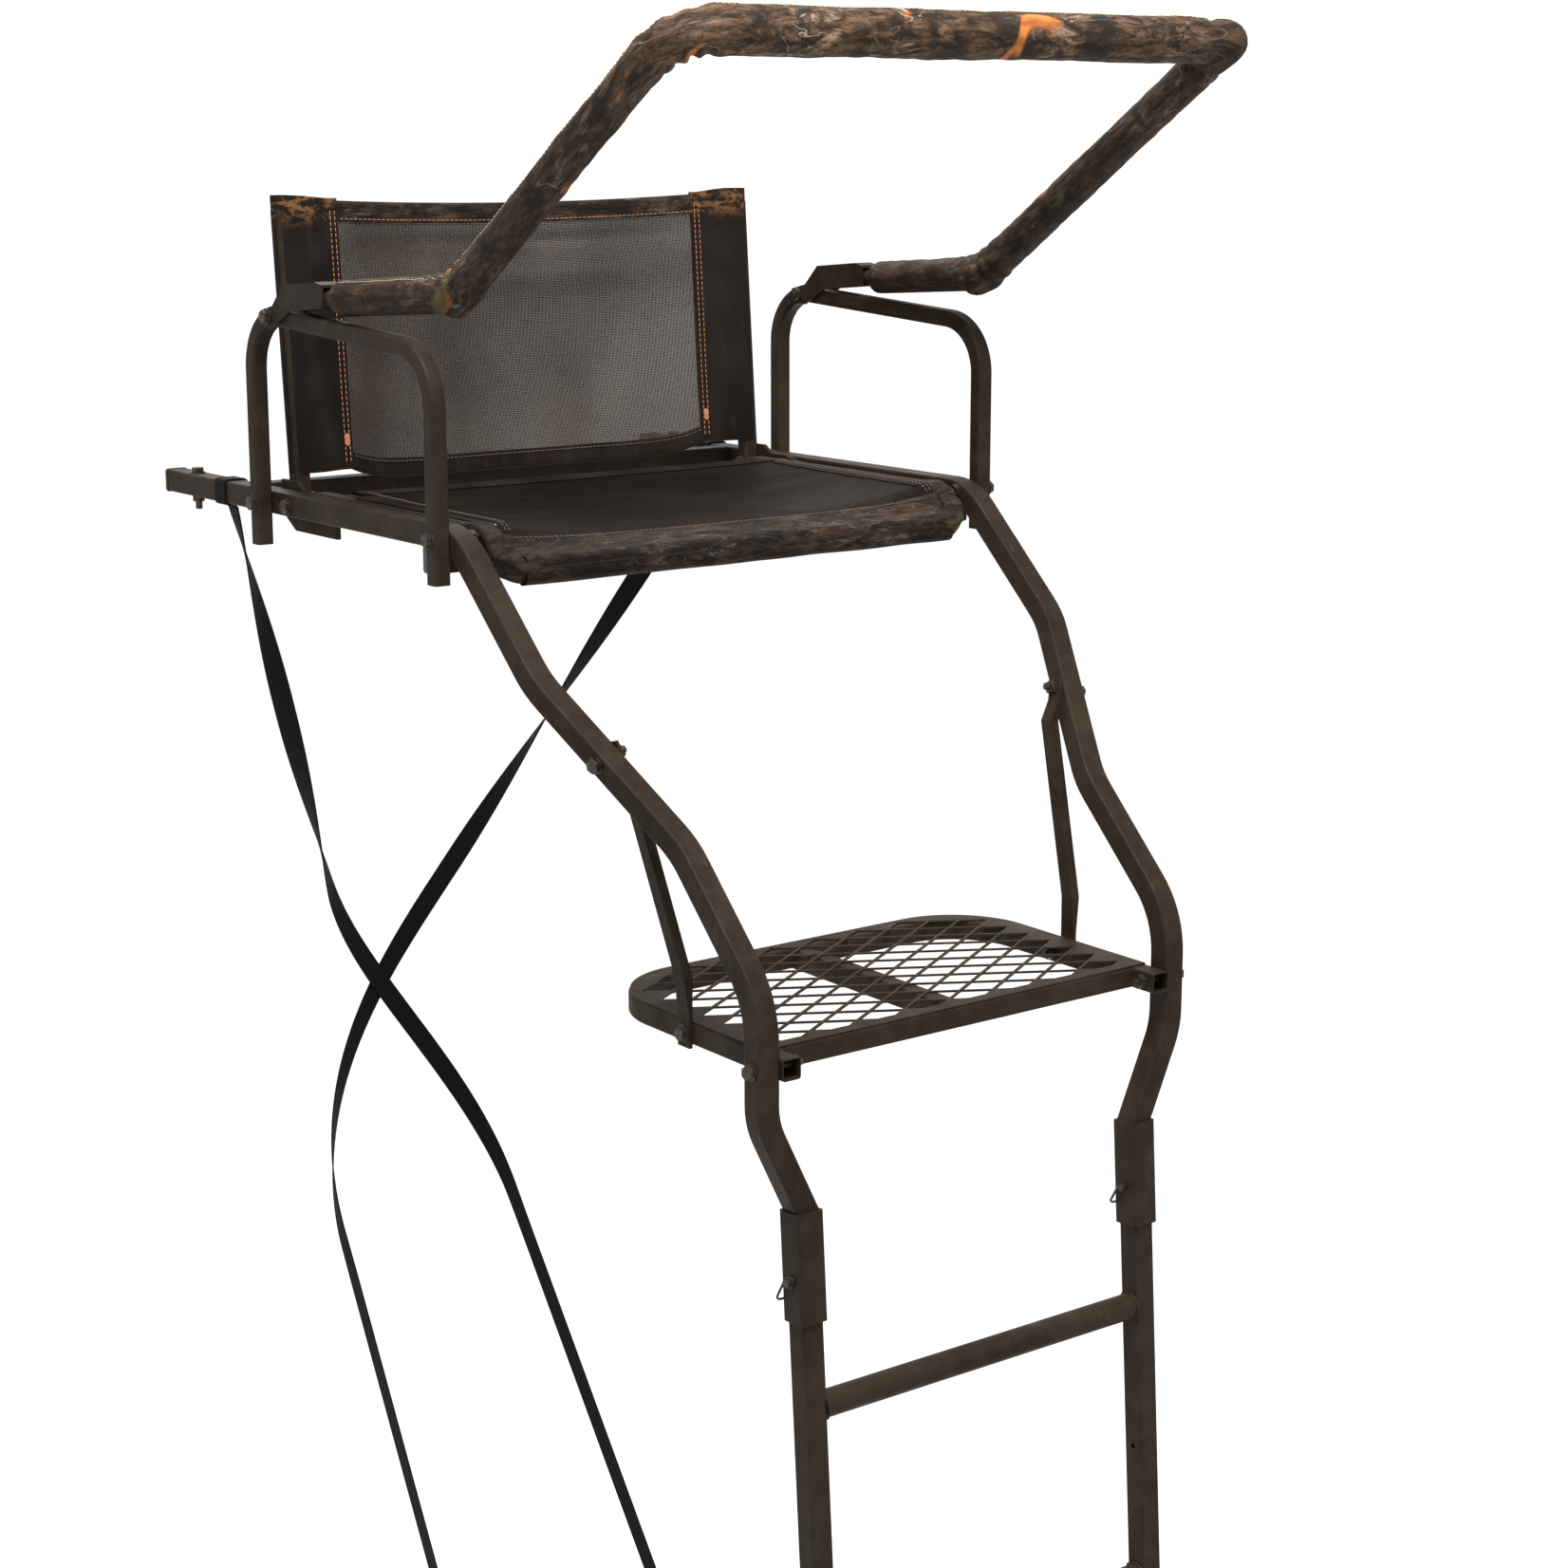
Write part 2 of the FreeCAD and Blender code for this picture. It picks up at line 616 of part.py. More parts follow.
def grip_points():
    x = rail_x + main / 2 + arm / 2
    arm_side = [(x, y, grip_z(y)) for y in (grip_start + 55, grip_start)]
    arm_side += [(grip_x + 1, grip_bend, grip_bend_z), (grip_x, grip_front, grip_front_z)]
    return arm_side + [(-x, y, z) for x, y, z in reversed(arm_side)]


def grip_z(y):
    """Height of the padded arm's middle over the armrest."""
    return grip_bend_z - (y - grip_bend) * 0.062


def make_shooting_rail():
    points = grip_points()
    radii = [70, 55, 55, 70]
    core = bent(ring_face(grip_core, 1.5), points, [200, *radii, 200])
    parts["shooting_rail_tube"] = core
    first, second = Vector(points[1]), Vector(points[2])
    start = first + unit(second - first) * 9
    padded = [start, *points[2:-2], Vector(-start.x, start.y, start.z)]
    thick = grip_pad - grip_core - snug
    parts["shooting_rail_pad"] = bent(ring_face(grip_pad, thick), padded, radii)


def make_rail_brackets():
    x = rail_x + main / 2 + arm / 2
    outer, inner = arm / 2 + 3.0, arm / 2 + 0.4
    outline = [(14, -10), (14, 6), (-12, 12), (-36, 35), (-108, 41), (-122, 38.5), (-122, 14), (-50, 8),
               (-12, -12)]
    corners = [Vector(0, pivot_y + y, pivot_z + z) for y, z in [*outline, outline[0]]]
    side = Part.Face(Part.makePolygon(corners)).extrude(Vector(2 * outer, 0, 0))
    side.translate(Vector(x - outer, 0, 0))
    slot = Part.makeBox(2 * inner, 200, 100, Vector(x - inner, pivot_y - 150, pivot_z - 40))
    web_edge = [(-40, 31), (-108, 37), (-122, 35.5), (-122, 60), (-40, 60)]
    edge = [Vector(x - inner - 1, pivot_y + y, pivot_z + z) for y, z in [*web_edge, web_edge[0]]]
    web = Part.Face(Part.makePolygon(edge)).extrude(Vector(2 * inner + 2, 0, 0))
    shape = side.cut(slot.cut(web))
    shape = shape.cut(bar((x, pivot_y, pivot_z), (1, 0, 0), bolt_radius + running, 60))
    parts["shooting_rail_bracket_right"] = shape
    parts["shooting_rail_bracket_left"] = mirrored(shape)
    start, end = x + outer + snug, x - outer - snug
    pieces = [bolt((start, pivot_y, pivot_z), (end - 10, pivot_y, pivot_z)),
              nut((end, pivot_y, pivot_z), (-1, 0, 0))]
    parts["shooting_rail_pivots"] = both_sides(group(pieces))


# Stabiliser straps

def touching(point, radius, way):
    """The angle, seen from above, at which a taut run from the point meets the trunk."""
    away = Vector(point.x, point.y - wrap_y, 0)
    return math.atan2(away.y, away.x) + way * math.acos(radius / away.Length)


def strap_stations(over):
    """One strap: from the left rail, round behind the trunk, to the right ladder leg."""
    start = Vector(-rail_x, -2, -main / 2 - snug)
    end = strap_foot() + Vector(-2, main / 2 + snug, 0)
    radius = trunk_radius + strap_thick / 2 + over
    first, last = touching(start, radius, -1) + 2 * math.pi, touching(end, radius, 1)
    normals = [Vector(math.cos(first), math.sin(first), 0), Vector(math.cos(last), math.sin(last), 0)]
    centre = Vector(0, wrap_y, 0)
    meet, leave = (centre + normal * radius for normal in normals)
    level = [Vector(p.x, p.y, 0) for p in (start, end)]
    runs = [(meet - level[0]).Length, radius * (first - last), (level[1] - leave).Length]
    slope = (end.z - start.z) / sum(runs)
    meet.z = start.z + slope * runs[0]
    leave.z = meet.z + slope * runs[1]
    way = unit(meet - start)
    flat, snugly = unit(Vector(0, 1, 0) - way * way.y), unit(way.cross(normals[0]))
    stations = []
    for k in range(9):
        wide = unit(flat * (1 - k / 8) + snugly * (k / 8))
        stations.append((start + (meet - start) * (k / 8), wide, way.cross(wide)))
    for k in range(1, 20):
        turn = first + (last - first) * k / 20
        normal = Vector(math.cos(turn), math.sin(turn), 0)
        tangent = Vector(math.sin(turn), -math.cos(turn), slope)
        point = centre + normal * radius + Vector(0, 0, meet.z + slope * runs[1] * k / 20)
        stations.append((point, tangent.cross(normal), normal))
    for k in range(9):
        wide = unit(end - leave).cross(normals[1])
        stations.append((leave + (end - leave) * (k / 8), wide, normals[1]))
    return [(point, wide, strap_wide, normal, strap_thick) for point, wide, normal in stations]


def strap_foot():
    return down_ladder(joint_at(2) - 150, ladder_x)


def strap_loop(centre, along, tube):
    """The webbing turned once round a square tube, and the whole block that it encloses."""
    inner = tube + 2 * snug
    outer = inner + 2 * strap_thick
    reach = unit(along) * (strap_wide / 2)
    ends = (Vector(centre) - reach, Vector(centre) + reach)
    block = straight(Part.Face(rounded(outer, outer, 4.5)), *ends)
    return straight(hollow(rounded(outer, outer, 4.5), rounded(inner, inner, 3.0)), *ends), block


def make_straps():
    rail_loop, rail_block = strap_loop((-rail_x, -2, 0), (0, 1, 0), main)
    leg_loop, leg_block = strap_loop(strap_foot(), ladder_way(), main)
    for side, over in (("left", 0.0), ("right", strap_thick + 1.2)):
        tubes = [parts["side_rail_left"], parts["ladder_leg_right_2"]]
        run = band(strap_stations(over)).cut([rail_block, leg_block, *tubes])
        strap = group([largest(run), rail_loop, leg_loop])
        parts[f"stabiliser_strap_{side}"] = strap if side == "left" else mirrored(strap)


for make in (make_rails, make_tree_brace, make_rail_hardware, make_armrests, make_back, make_back_sling,
             make_seat_frame, make_seat_sling, make_seat_pivots, make_seat_rest, make_platform,
             make_platform_mesh, make_platform_braces, make_platform_bolts, make_ladder, make_pins,
             make_feet, make_shooting_rail, make_rail_brackets, make_straps):
    make()

os.makedirs("parts", exist_ok=True)
for name, shape in parts.items():
    if not shape.isValid():
        print("not valid:", name)
    print(f"{name:32s} {len(shape.Solids):3d} solids  {shape.Volume / 1000:9.1f} cm3")
    shape.exportStep(f"parts/{name}.step")
print(len(parts), "nodes")
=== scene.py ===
import bpy
import json
import math
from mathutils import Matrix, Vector, noise


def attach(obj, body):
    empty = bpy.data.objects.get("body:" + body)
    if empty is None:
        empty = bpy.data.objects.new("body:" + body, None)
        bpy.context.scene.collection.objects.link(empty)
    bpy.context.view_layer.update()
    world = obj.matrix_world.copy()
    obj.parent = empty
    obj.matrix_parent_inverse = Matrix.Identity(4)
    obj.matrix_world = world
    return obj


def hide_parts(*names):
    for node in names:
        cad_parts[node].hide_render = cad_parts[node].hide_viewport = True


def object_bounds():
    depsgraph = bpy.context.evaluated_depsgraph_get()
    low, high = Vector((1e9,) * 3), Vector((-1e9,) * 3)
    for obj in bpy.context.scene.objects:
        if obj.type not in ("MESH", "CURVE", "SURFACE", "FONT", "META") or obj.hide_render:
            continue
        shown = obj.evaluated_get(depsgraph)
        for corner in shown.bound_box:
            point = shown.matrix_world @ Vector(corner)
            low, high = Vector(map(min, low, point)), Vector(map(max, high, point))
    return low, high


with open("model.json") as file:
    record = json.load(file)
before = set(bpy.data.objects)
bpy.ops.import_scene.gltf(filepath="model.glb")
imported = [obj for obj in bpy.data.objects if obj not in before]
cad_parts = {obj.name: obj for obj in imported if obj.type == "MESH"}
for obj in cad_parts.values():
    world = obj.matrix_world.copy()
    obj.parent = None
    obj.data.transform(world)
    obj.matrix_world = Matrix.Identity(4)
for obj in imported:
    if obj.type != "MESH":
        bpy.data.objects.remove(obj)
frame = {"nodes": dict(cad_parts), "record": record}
cadBox = [list(c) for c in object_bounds()]
print("frame loaded")

tubeSizes = {
    "main": 0.0254,
    "arm": 0.01905,
    "seat": 0.022,
    "rung": 0.014,
}

ladderSizes = {
    "x": 0.221,
    "top": (-0.920, -0.617),
    "lean": math.radians(4),
    "firstRung": 0.2025,
    "step": 0.305,
    "rungs": 12,
}


def deselectAll():
    if bpy.context.mode != "OBJECT":
        bpy.ops.object.mode_set(mode="OBJECT")
    bpy.ops.object.select_all(action="DESELECT")


def takeUp(piece):
    deselectAll()
    piece.select_set(True)
    bpy.context.view_layer.objects.active = piece


def applyModifier(piece, kind, **values):
    takeUp(piece)
    bpy.ops.object.modifier_add(type=kind)
    modifier = piece.modifiers[-1]
    for key, value in values.items():
        setattr(modifier, key, value)
    bpy.ops.object.modifier_apply(modifier=modifier.name)


def tidyMesh(piece, angle=40, merge=0.00001):
    takeUp(piece)
    bpy.ops.object.mode_set(mode="EDIT")
    bpy.ops.mesh.select_all(action="SELECT")
    bpy.ops.mesh.remove_doubles(threshold=merge)
    bpy.ops.mesh.normals_make_consistent(inside=False)
    bpy.ops.object.mode_set(mode="OBJECT")
    bpy.ops.object.shade_smooth_by_angle(angle=math.radians(angle))


def settle(piece):
    # the place goes into the mesh, so patterns on object coordinates stay put
    takeUp(piece)
    bpy.ops.object.transform_apply(location=True, rotation=True, scale=True)


def joinPieces(pieces, name):
    deselectAll()
    for piece in pieces:
        piece.select_set(True)
    bpy.context.view_layer.objects.active = pieces[0]
    if len(pieces) > 1:
        bpy.ops.object.join()
    whole = bpy.context.object
    whole.name = name
    return whole


def clothGrid(name, across, along, place):
    # a flat grid, each point moved to its place on the finished cloth
    deselectAll()
    bpy.ops.mesh.primitive_grid_add(x_subdivisions=across, y_subdivisions=along, size=2)
    piece = bpy.context.object
    piece.name = name
    for v in piece.data.vertices:
        v.co = place((v.co.x + 1) / 2, (v.co.y + 1) / 2)
    return piece


def finishPiece(piece, material, body, replaces=()):
    piece.data.materials.clear()
    piece.data.materials.append(material)
    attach(piece, body)
    if replaces:
        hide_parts(*replaces)
    return piece


def downLadder(s, x=0.0):
    y, z = ladderSizes["top"]
    lean = ladderSizes["lean"]
    return Vector((x, y - s * math.sin(lean), z - s * math.cos(lean)))


def smoothStep(t):
    t = min(1.0, max(0.0, t))
    return t * t * (3 - 2 * t)


# materials

class Nodes:
    def __init__(self, name):
        self.material = bpy.data.materials.new(name)
        self.material.use_nodes = True
        self.tree = self.material.node_tree
        self.shader = self.tree.nodes["Principled BSDF"]
        self.coord = self.add("TexCoord")

    def add(self, kind, **values):
        node = self.tree.nodes.new("ShaderNode" + kind)
        for key, value in values.items():
            if hasattr(node, key):
                setattr(node, key, value)
            else:
                self.feed(node.inputs[key.replace("_", " ")], value)
        return node

    def feed(self, socket, value):
        if isinstance(value, bpy.types.NodeSocket):
            self.tree.links.new(value, socket)
        else:
            socket.default_value = value

    def place(self, scale=(1, 1, 1), turn=(0, 0, 0), source="Object"):
        mapping = self.add("Mapping")
        self.feed(mapping.inputs["Vector"], self.coord.outputs[source])
        mapping.inputs["Scale"].default_value = scale
        mapping.inputs["Rotation"].default_value = turn
        return mapping.outputs["Vector"]

    def noise(self, scale, vector=None, detail=3.0, roughness=0.5, distortion=0.0):
        node = self.add("TexNoise", Scale=scale, Detail=detail, Roughness=roughness, Distortion=distortion)
        self.feed(node.inputs["Vector"], vector or self.coord.outputs["Object"])
        return node.outputs["Fac"]

    def ramp(self, value, low, high, first=0.0, last=1.0):
        node = self.add("MapRange", interpolation_type="SMOOTHSTEP")
        self.feed(node.inputs["Value"], value)
        for key, number in (("From Min", low), ("From Max", high), ("To Min", first), ("To Max", last)):
            node.inputs[key].default_value = number
        return node.outputs["Result"]

    def mix(self, factor, first, second):
        node = self.add("Mix", data_type="RGBA")
        self.feed(node.inputs[0], factor)
        self.feed(node.inputs[6], first)
        self.feed(node.inputs[7], second)
        return node.outputs[2]

    def sum(self, operation, first, second):
        node = self.add("Math", operation=operation)
        self.feed(node.inputs[0], first)
        self.feed(node.inputs[1], second)
        return node.outputs[0]

    def bump(self, height, strength, distance, before=None):
        node = self.add("Bump", Strength=strength, Distance=distance)
        self.feed(node.inputs["Height"], height)
        if before:
            self.feed(node.inputs["Normal"], before)
        return node.outputs["Normal"]

    def finish(self, colour=None, roughness=None, normal=None, **values):
        if colour is not None:
            self.feed(self.shader.inputs["Base Color"], colour)
        if roughness is not None:
            self.feed(self.shader.inputs["Roughness"], roughness)
        if normal is not None:
            self.feed(self.shader.inputs["Normal"], normal)
        for key, value in values.items():
            self.feed(self.shader.inputs[key.replace("_", " ")], value)
        return self.material


def rgb(r, g, b, dim=1.0):
    return (r * dim, g * dim, b * dim, 1.0)


def makeFramePaint():
    n = Nodes("framePaint")
    broad = n.ramp(n.noise(7.0, detail=5.0, roughness=0.6), 0.35, 0.68)
    cloudy = n.ramp(n.noise(38.0, detail=5.0, roughness=0.65), 0.38, 0.7)
    base = n.mix(broad, rgb(0.0105, 0.0062, 0.0032), rgb(0.0165, 0.0104, 0.0060))
    base = n.mix(n.sum("MULTIPLY", cloudy, 0.55), base, rgb(0.0215, 0.0148, 0.0098))
    dust = n.ramp(n.noise(16.0, n.place((1, 1, 0.35)), detail=8.0, roughness=0.72), 0.56, 0.74)
    base = n.mix(n.sum("MULTIPLY", dust, 0.45), base, rgb(0.040, 0.029, 0.020))
    scuff = n.ramp(n.noise(120.0, n.place((1, 0.25, 0.12)), detail=4.0, roughness=0.7), 0.69, 0.76)
    base = n.mix(n.sum("MULTIPLY", scuff, 0.6), base, rgb(0.085, 0.068, 0.054))
    rust = n.ramp(n.noise(210.0, detail=2.0), 0.735, 0.79)
    base = n.mix(n.sum("MULTIPLY", rust, 0.6), base, rgb(0.090, 0.034, 0.013))
    peel = n.bump(n.noise(950.0, detail=1.5), 0.16, 0.0006)
    normal = n.bump(n.sum("ADD", scuff, rust), 0.25, -0.0004, peel)
    rough = n.ramp(n.noise(22.0, detail=6.0, roughness=0.7), 0.3, 0.7, 0.46, 0.62)
    return n.finish(base, rough, normal, Specular_IOR_Level=0.07)


def makeHardware():
    n = Nodes("darkZinc")
    blotch = n.ramp(n.noise(140.0, detail=5.0, roughness=0.65), 0.35, 0.7)
    base = n.mix(blotch, rgb(0.015, 0.0115, 0.0080), rgb(0.060, 0.048, 0.036))
    rust = n.ramp(n.noise(260.0, detail=3.0), 0.62, 0.72)
    base = n.mix(n.sum("MULTIPLY", rust, 0.65), base, rgb(0.075, 0.032, 0.013))
    rough = n.ramp(blotch, 0.0, 1.0, 0.55, 0.33)
    return n.finish(base, rough, n.bump(n.noise(700.0), 0.2, 0.0004), Metallic=0.75)


def makeCapPlastic():
    n = Nodes("capPlastic")
    base = n.mix(n.noise(60.0, detail=5.0), rgb(0.010, 0.010, 0.010), rgb(0.022, 0.021, 0.020))
    rough = n.ramp(n.noise(90.0), 0.3, 0.7, 0.42, 0.6)
    return n.finish(base, rough, n.bump(n.noise(1200.0), 0.25, 0.0004))


def makeWebbing():
    # u runs across the strap and v along it, both in metres
    n = Nodes("blackWebbing")
    ribs = n.add("TexWave", wave_type="BANDS", bands_direction="X", Scale=95.0, Distortion=0.0)
    n.feed(ribs.inputs["Vector"], n.coord.outputs["UV"])
    picks = n.add("TexWave", wave_type="BANDS", bands_direction="DIAGONAL", Scale=120.0, Distortion=0.4)
    n.feed(picks.inputs["Vector"], n.coord.outputs["UV"])
    weave = n.sum("MULTIPLY", ribs.outputs["Fac"], picks.outputs["Fac"])
    fuzz = n.noise(420.0, detail=4.0)
    base = n.mix(weave, rgb(0.0016, 0.0016, 0.0018), rgb(0.0055, 0.0055, 0.0060))
    base = n.mix(n.ramp(fuzz, 0.6, 0.85, 0.0, 0.4), base, rgb(0.020, 0.019, 0.018))
    normal = n.bump(weave, 0.7, 0.0006, n.bump(fuzz, 0.2, 0.0003))
    return n.finish(base, n.ramp(fuzz, 0.3, 0.7, 0.62, 0.8), normal, Specular_IOR_Level=0.06)


def makeSlingMesh(name, closed, dim):
    # open weave: two sets of coated yarns, 560 to the metre, with square holes between them
    n = Nodes(name)
    yarns = 560.0
    split = n.add("SeparateXYZ")
    n.feed(split.inputs["Vector"], n.coord.outputs["UV"])

    def yarn(axis):
        wave = n.sum("SINE", n.sum("MULTIPLY", split.outputs[axis], math.pi * yarns), 0.0)
        return n.sum("ABSOLUTE", wave, 0.0)

    warp, weft = yarn("X"), yarn("Y")
    gap = n.sum("MINIMUM", warp, weft)
    alpha = n.ramp(gap, closed, closed + 0.08, 1.0, 0.0)
    shade = n.ramp(n.noise(6.0, detail=5.0, roughness=0.6), 0.35, 0.7)
    base = n.mix(shade, rgb(0.0165, 0.0112, 0.0078, dim), rgb(0.032, 0.0235, 0.0172, dim))
    slub = n.ramp(n.noise(300.0, n.place((1, 1, 0.2))), 0.55, 0.75)
    base = n.mix(n.sum("MULTIPLY", slub, 0.22), base, rgb(0.047, 0.037, 0.029, dim))
    dust = n.ramp(n.noise(28.0, detail=8.0, roughness=0.75), 0.58, 0.78)
    base = n.mix(n.sum("MULTIPLY", dust, 0.3), base, rgb(0.060, 0.047, 0.036, dim))
    normal = n.bump(n.sum("ADD", warp, weft), 0.5, -0.0005)
    n.material.surface_render_method = "DITHERED"
    return n.finish(base, n.ramp(slub, 0, 1, 0.5, 0.62), normal, Alpha=alpha, Specular_IOR_Level=0.08 * dim)


def makeCamo(name, dim, leafy, grain, spread, source="Object", unshadedSpan=None):
    # bark ground streaked along the cloth, pale twigs, a few leaves in orange and green
    n = Nodes(name)

    def shade(r, g, b):
        return rgb(r, g, b, dim)

    run = n.place(grain, source=source)
    flat = n.place(spread, source=source)
    other = n.place(spread, (0.0, 0.0, 0.45), source)
    bark = n.ramp(n.noise(120.0, run, 8.0, 0.78, 0.35), 0.42, 0.64)
    base = n.mix(bark, shade(0.0110, 0.0070, 0.0042), shade(0.082, 0.047, 0.027))
    ash = n.ramp(n.noise(95.0, run, 9.0, 0.80, 0.5), 0.50, 0.64)
    patch = n.ramp(n.noise(6.0, flat, 3.0), 0.47, 0.58)
    base = n.mix(n.sum("MULTIPLY", ash, n.sum("MULTIPLY", patch, 0.8)), base, shade(0.215, 0.150, 0.100))
    dark = n.ramp(n.noise(19.0, other, 6.0, 0.7, 0.6), 0.49, 0.60)
    base = n.mix(n.sum("MULTIPLY", dark, 0.8), base, shade(0.0075, 0.0058, 0.0046))
    leaf = n.ramp(n.noise(10.0, flat, 2.0, 0.5, 0.9), leafy, leafy + 0.025)
    vein = n.ramp(n.noise(90.0, run, 4.0, 0.6), 0.35, 0.65)
    leafColour = n.mix(vein, shade(0.15, 0.044, 0.010), shade(0.34, 0.115, 0.026))
    base = n.mix(n.sum("MULTIPLY", leaf, 0.9), base, leafColour)
    moss = n.ramp(n.noise(9.0, other, 3.0, 0.5, 0.7), 0.665, 0.70)
    base = n.mix(n.sum("MULTIPLY", moss, 0.75), base, shade(0.050, 0.062, 0.022))
    branching = n.noise(24.0, run, 2.0, 0.4, 2.6)
    twig = n.ramp(branching, 0.494, 0.5)
    twig = n.sum("MULTIPLY", twig, n.ramp(branching, 0.512, 0.506))
    twig = n.sum("MULTIPLY", twig, n.ramp(n.noise(13.0, other), 0.52, 0.6))
    base = n.mix(n.sum("MULTIPLY", twig, 0.5), base, shade(0.27, 0.215, 0.165))
    if unshadedSpan:
        # painted shade: the arms of the cover are darkened, and only the length along the front bar keeps
        # the full print colour
        split = n.add("SeparateXYZ")
        n.feed(split.inputs["Vector"], n.coord.outputs["UV"])
        start, end, fade = *unshadedSpan, 0.14
        front = n.sum("MULTIPLY", n.ramp(split.outputs["Y"], start, start + fade),
                      n.ramp(split.outputs["Y"], end - fade, end, 1.0, 0.0))
        # painted shade: a darker copy of the print, laid on the arms
        paintedArmShade = n.mix(0.64, base, shade(0.0060, 0.0038, 0.0022))
        base = n.mix(front, paintedArmShade, base)
    nap = n.noise(900.0, detail=3.0)
    crease = n.noise(55.0, detail=4.0, distortion=0.8)
    normal = n.bump(nap, 0.35, 0.0004, n.bump(crease, 0.45, 0.0022))
    return n.finish(base, n.ramp(nap, 0.3, 0.7, 0.66, 0.8), normal, Specular_IOR_Level=0.1)


def makeSleeveCloth():
    n = Nodes("sleeveCloth")
    weave = n.add("TexChecker", Scale=700.0)
    n.feed(weave.inputs["Vector"], n.coord.outputs["Object"])
    shade = n.ramp(n.noise(11.0, n.place((1, 1, 0.25)), 6.0, 0.65, 0.4), 0.38, 0.68)
    base = n.mix(shade, rgb(0.0028, 0.0019, 0.0013), rgb(0.0085, 0.0058, 0.0040))
    streak = n.ramp(n.noise(60.0, n.place((1, 1, 0.1)), 4.0), 0.6, 0.75)
    base = n.mix(n.sum("MULTIPLY", streak, 0.4), base, rgb(0.019, 0.0145, 0.0110))
    # the upper ends of the back sleeves are printed
    split = n.add("SeparateXYZ")
    n.feed(split.inputs["Vector"], n.coord.outputs["Object"])
    printed = n.sum("MULTIPLY", n.ramp(split.outputs["Z"], 0.293, 0.318),
                    n.ramp(n.noise(42.0, n.place((1, 1, 2.2)), 6.0, 0.7, 0.8), 0.46, 0.6))
    base = n.mix(n.sum("MULTIPLY", printed, 0.8), base, rgb(0.115, 0.052, 0.020))
    crease = n.bump(n.noise(80.0, n.place((1, 1, 0.2))), 0.3, 0.0012)
    normal = n.bump(weave.outputs["Fac"], 0.25, 0.0003, crease)
    return n.finish(base, n.ramp(shade, 0, 1, 0.68, 0.8), normal, Specular_IOR_Level=0.08)


def makeThread(name, colour):
    n = Nodes(name)
    tint = n.noise(400.0, detail=2.0)
    base = n.mix(tint, colour, rgb(*colour[:3], 0.45))
    return n.finish(base, n.ramp(tint, 0.3, 0.7, 0.5, 0.7), n.bump(tint, 0.4, 0.0003), Sheen_Weight=0.2)


framePaint = makeFramePaint()
darkZinc = makeHardware()
capPlastic = makeCapPlastic()
blackWebbing = makeWebbing()
slingMesh = makeSlingMesh("slingMesh", 0.66, 1.15)
seatMesh = makeSlingMesh("seatMesh", 0.93, 0.26)
padCamo = makeCamo("padCamo", 1.12, 0.650, (1.0, 0.25, 1.0), (1.1, 0.9, 1.0), "UV", (0.62, 1.42))
hemCamo = makeCamo("hemCamo", 0.34, 0.720, (0.3, 1.2, 1.2), (0.8, 1.3, 1.3))
sleeveCloth = makeSleeveCloth()
orangeThread = makeThread("orangeThread", rgb(0.42, 0.13, 0.035))
brownThread = makeThread("brownThread", rgb(0.11, 0.042, 0.018))
goldThread = makeThread("goldThread", rgb(0.50, 0.33, 0.10))
print("materials made")


# steel pieces carried over from the frame

slotMaterials = {
    "frame_paint": framePaint,
    "hardware": darkZinc,
    "caps": capPlastic,
    "webbing": blackWebbing,
    "sling_mesh": slingMesh,
    "camo_pad": padCamo,
}
slotOf = {part["node"]: part["material_slot"] for part in frame["record"]["subparts"]}
for nodeName, node in frame["nodes"].items():
    node.data.materials.clear()
    node.data.materials.append(slotMaterials[slotOf[nodeName]])
print("steel painted")


# back sling: a mesh panel between two cloth sleeves on the posts

backSling = {
    "post": 0.31,          # middle of each post
    "stitch": 0.245,       # seam of each sleeve
    "low": 0.031,
    "high": 0.324,
    "rear": -0.118,        # post line at seat height
    "lean": math.radians(4.4),
    "behind": 0.0006,      # the panel lies this far behind the post line
    "sag": 0.020,
    "dip": 0.006,          # the top edge hangs lower in the middle
    "hang": 0.0155,        # and the lower edge reaches down to the cross tube
    "creases": ((0.84, 0.045, 0.0045), (0.72, 0.060, -0.0025)),   # share of the height, spread, depth
    "cloth": 0.0012,
    "topHem": 0.07317,     # shares of the panel's height
    "bottomHem": 0.06272,
    "hemStitches": (0.05226, 0.93728),
    "tack": 0.105,
}


def backLine(z):
    return backSling["rear"] + z * math.tan(backSling["lean"])


def backPanelPoint(x, t, lift=0.0):
    b = backSling
    along = x / b["stitch"]
    middle = max(0.0, 1 - along * along)
    z = b["low"] + (b["high"] - b["low"]) * t
    z -= b["dip"] * middle * t + b["hang"] * (1 - abs(along) ** 8) * (1 - t) ** 2
    y = backLine(z) + b["behind"] + b["sag"] * middle * (0.75 + 0.25 * math.cos(6 * (t - 0.4)))
    for at, spread, depth in b["creases"]:
        y += depth * middle * math.exp(-((t - at) / spread) ** 2)
    y += 0.0022 * noise.noise(Vector((x * 9, z * 5, 2.0)))
    return Vector((x, y - lift, z))


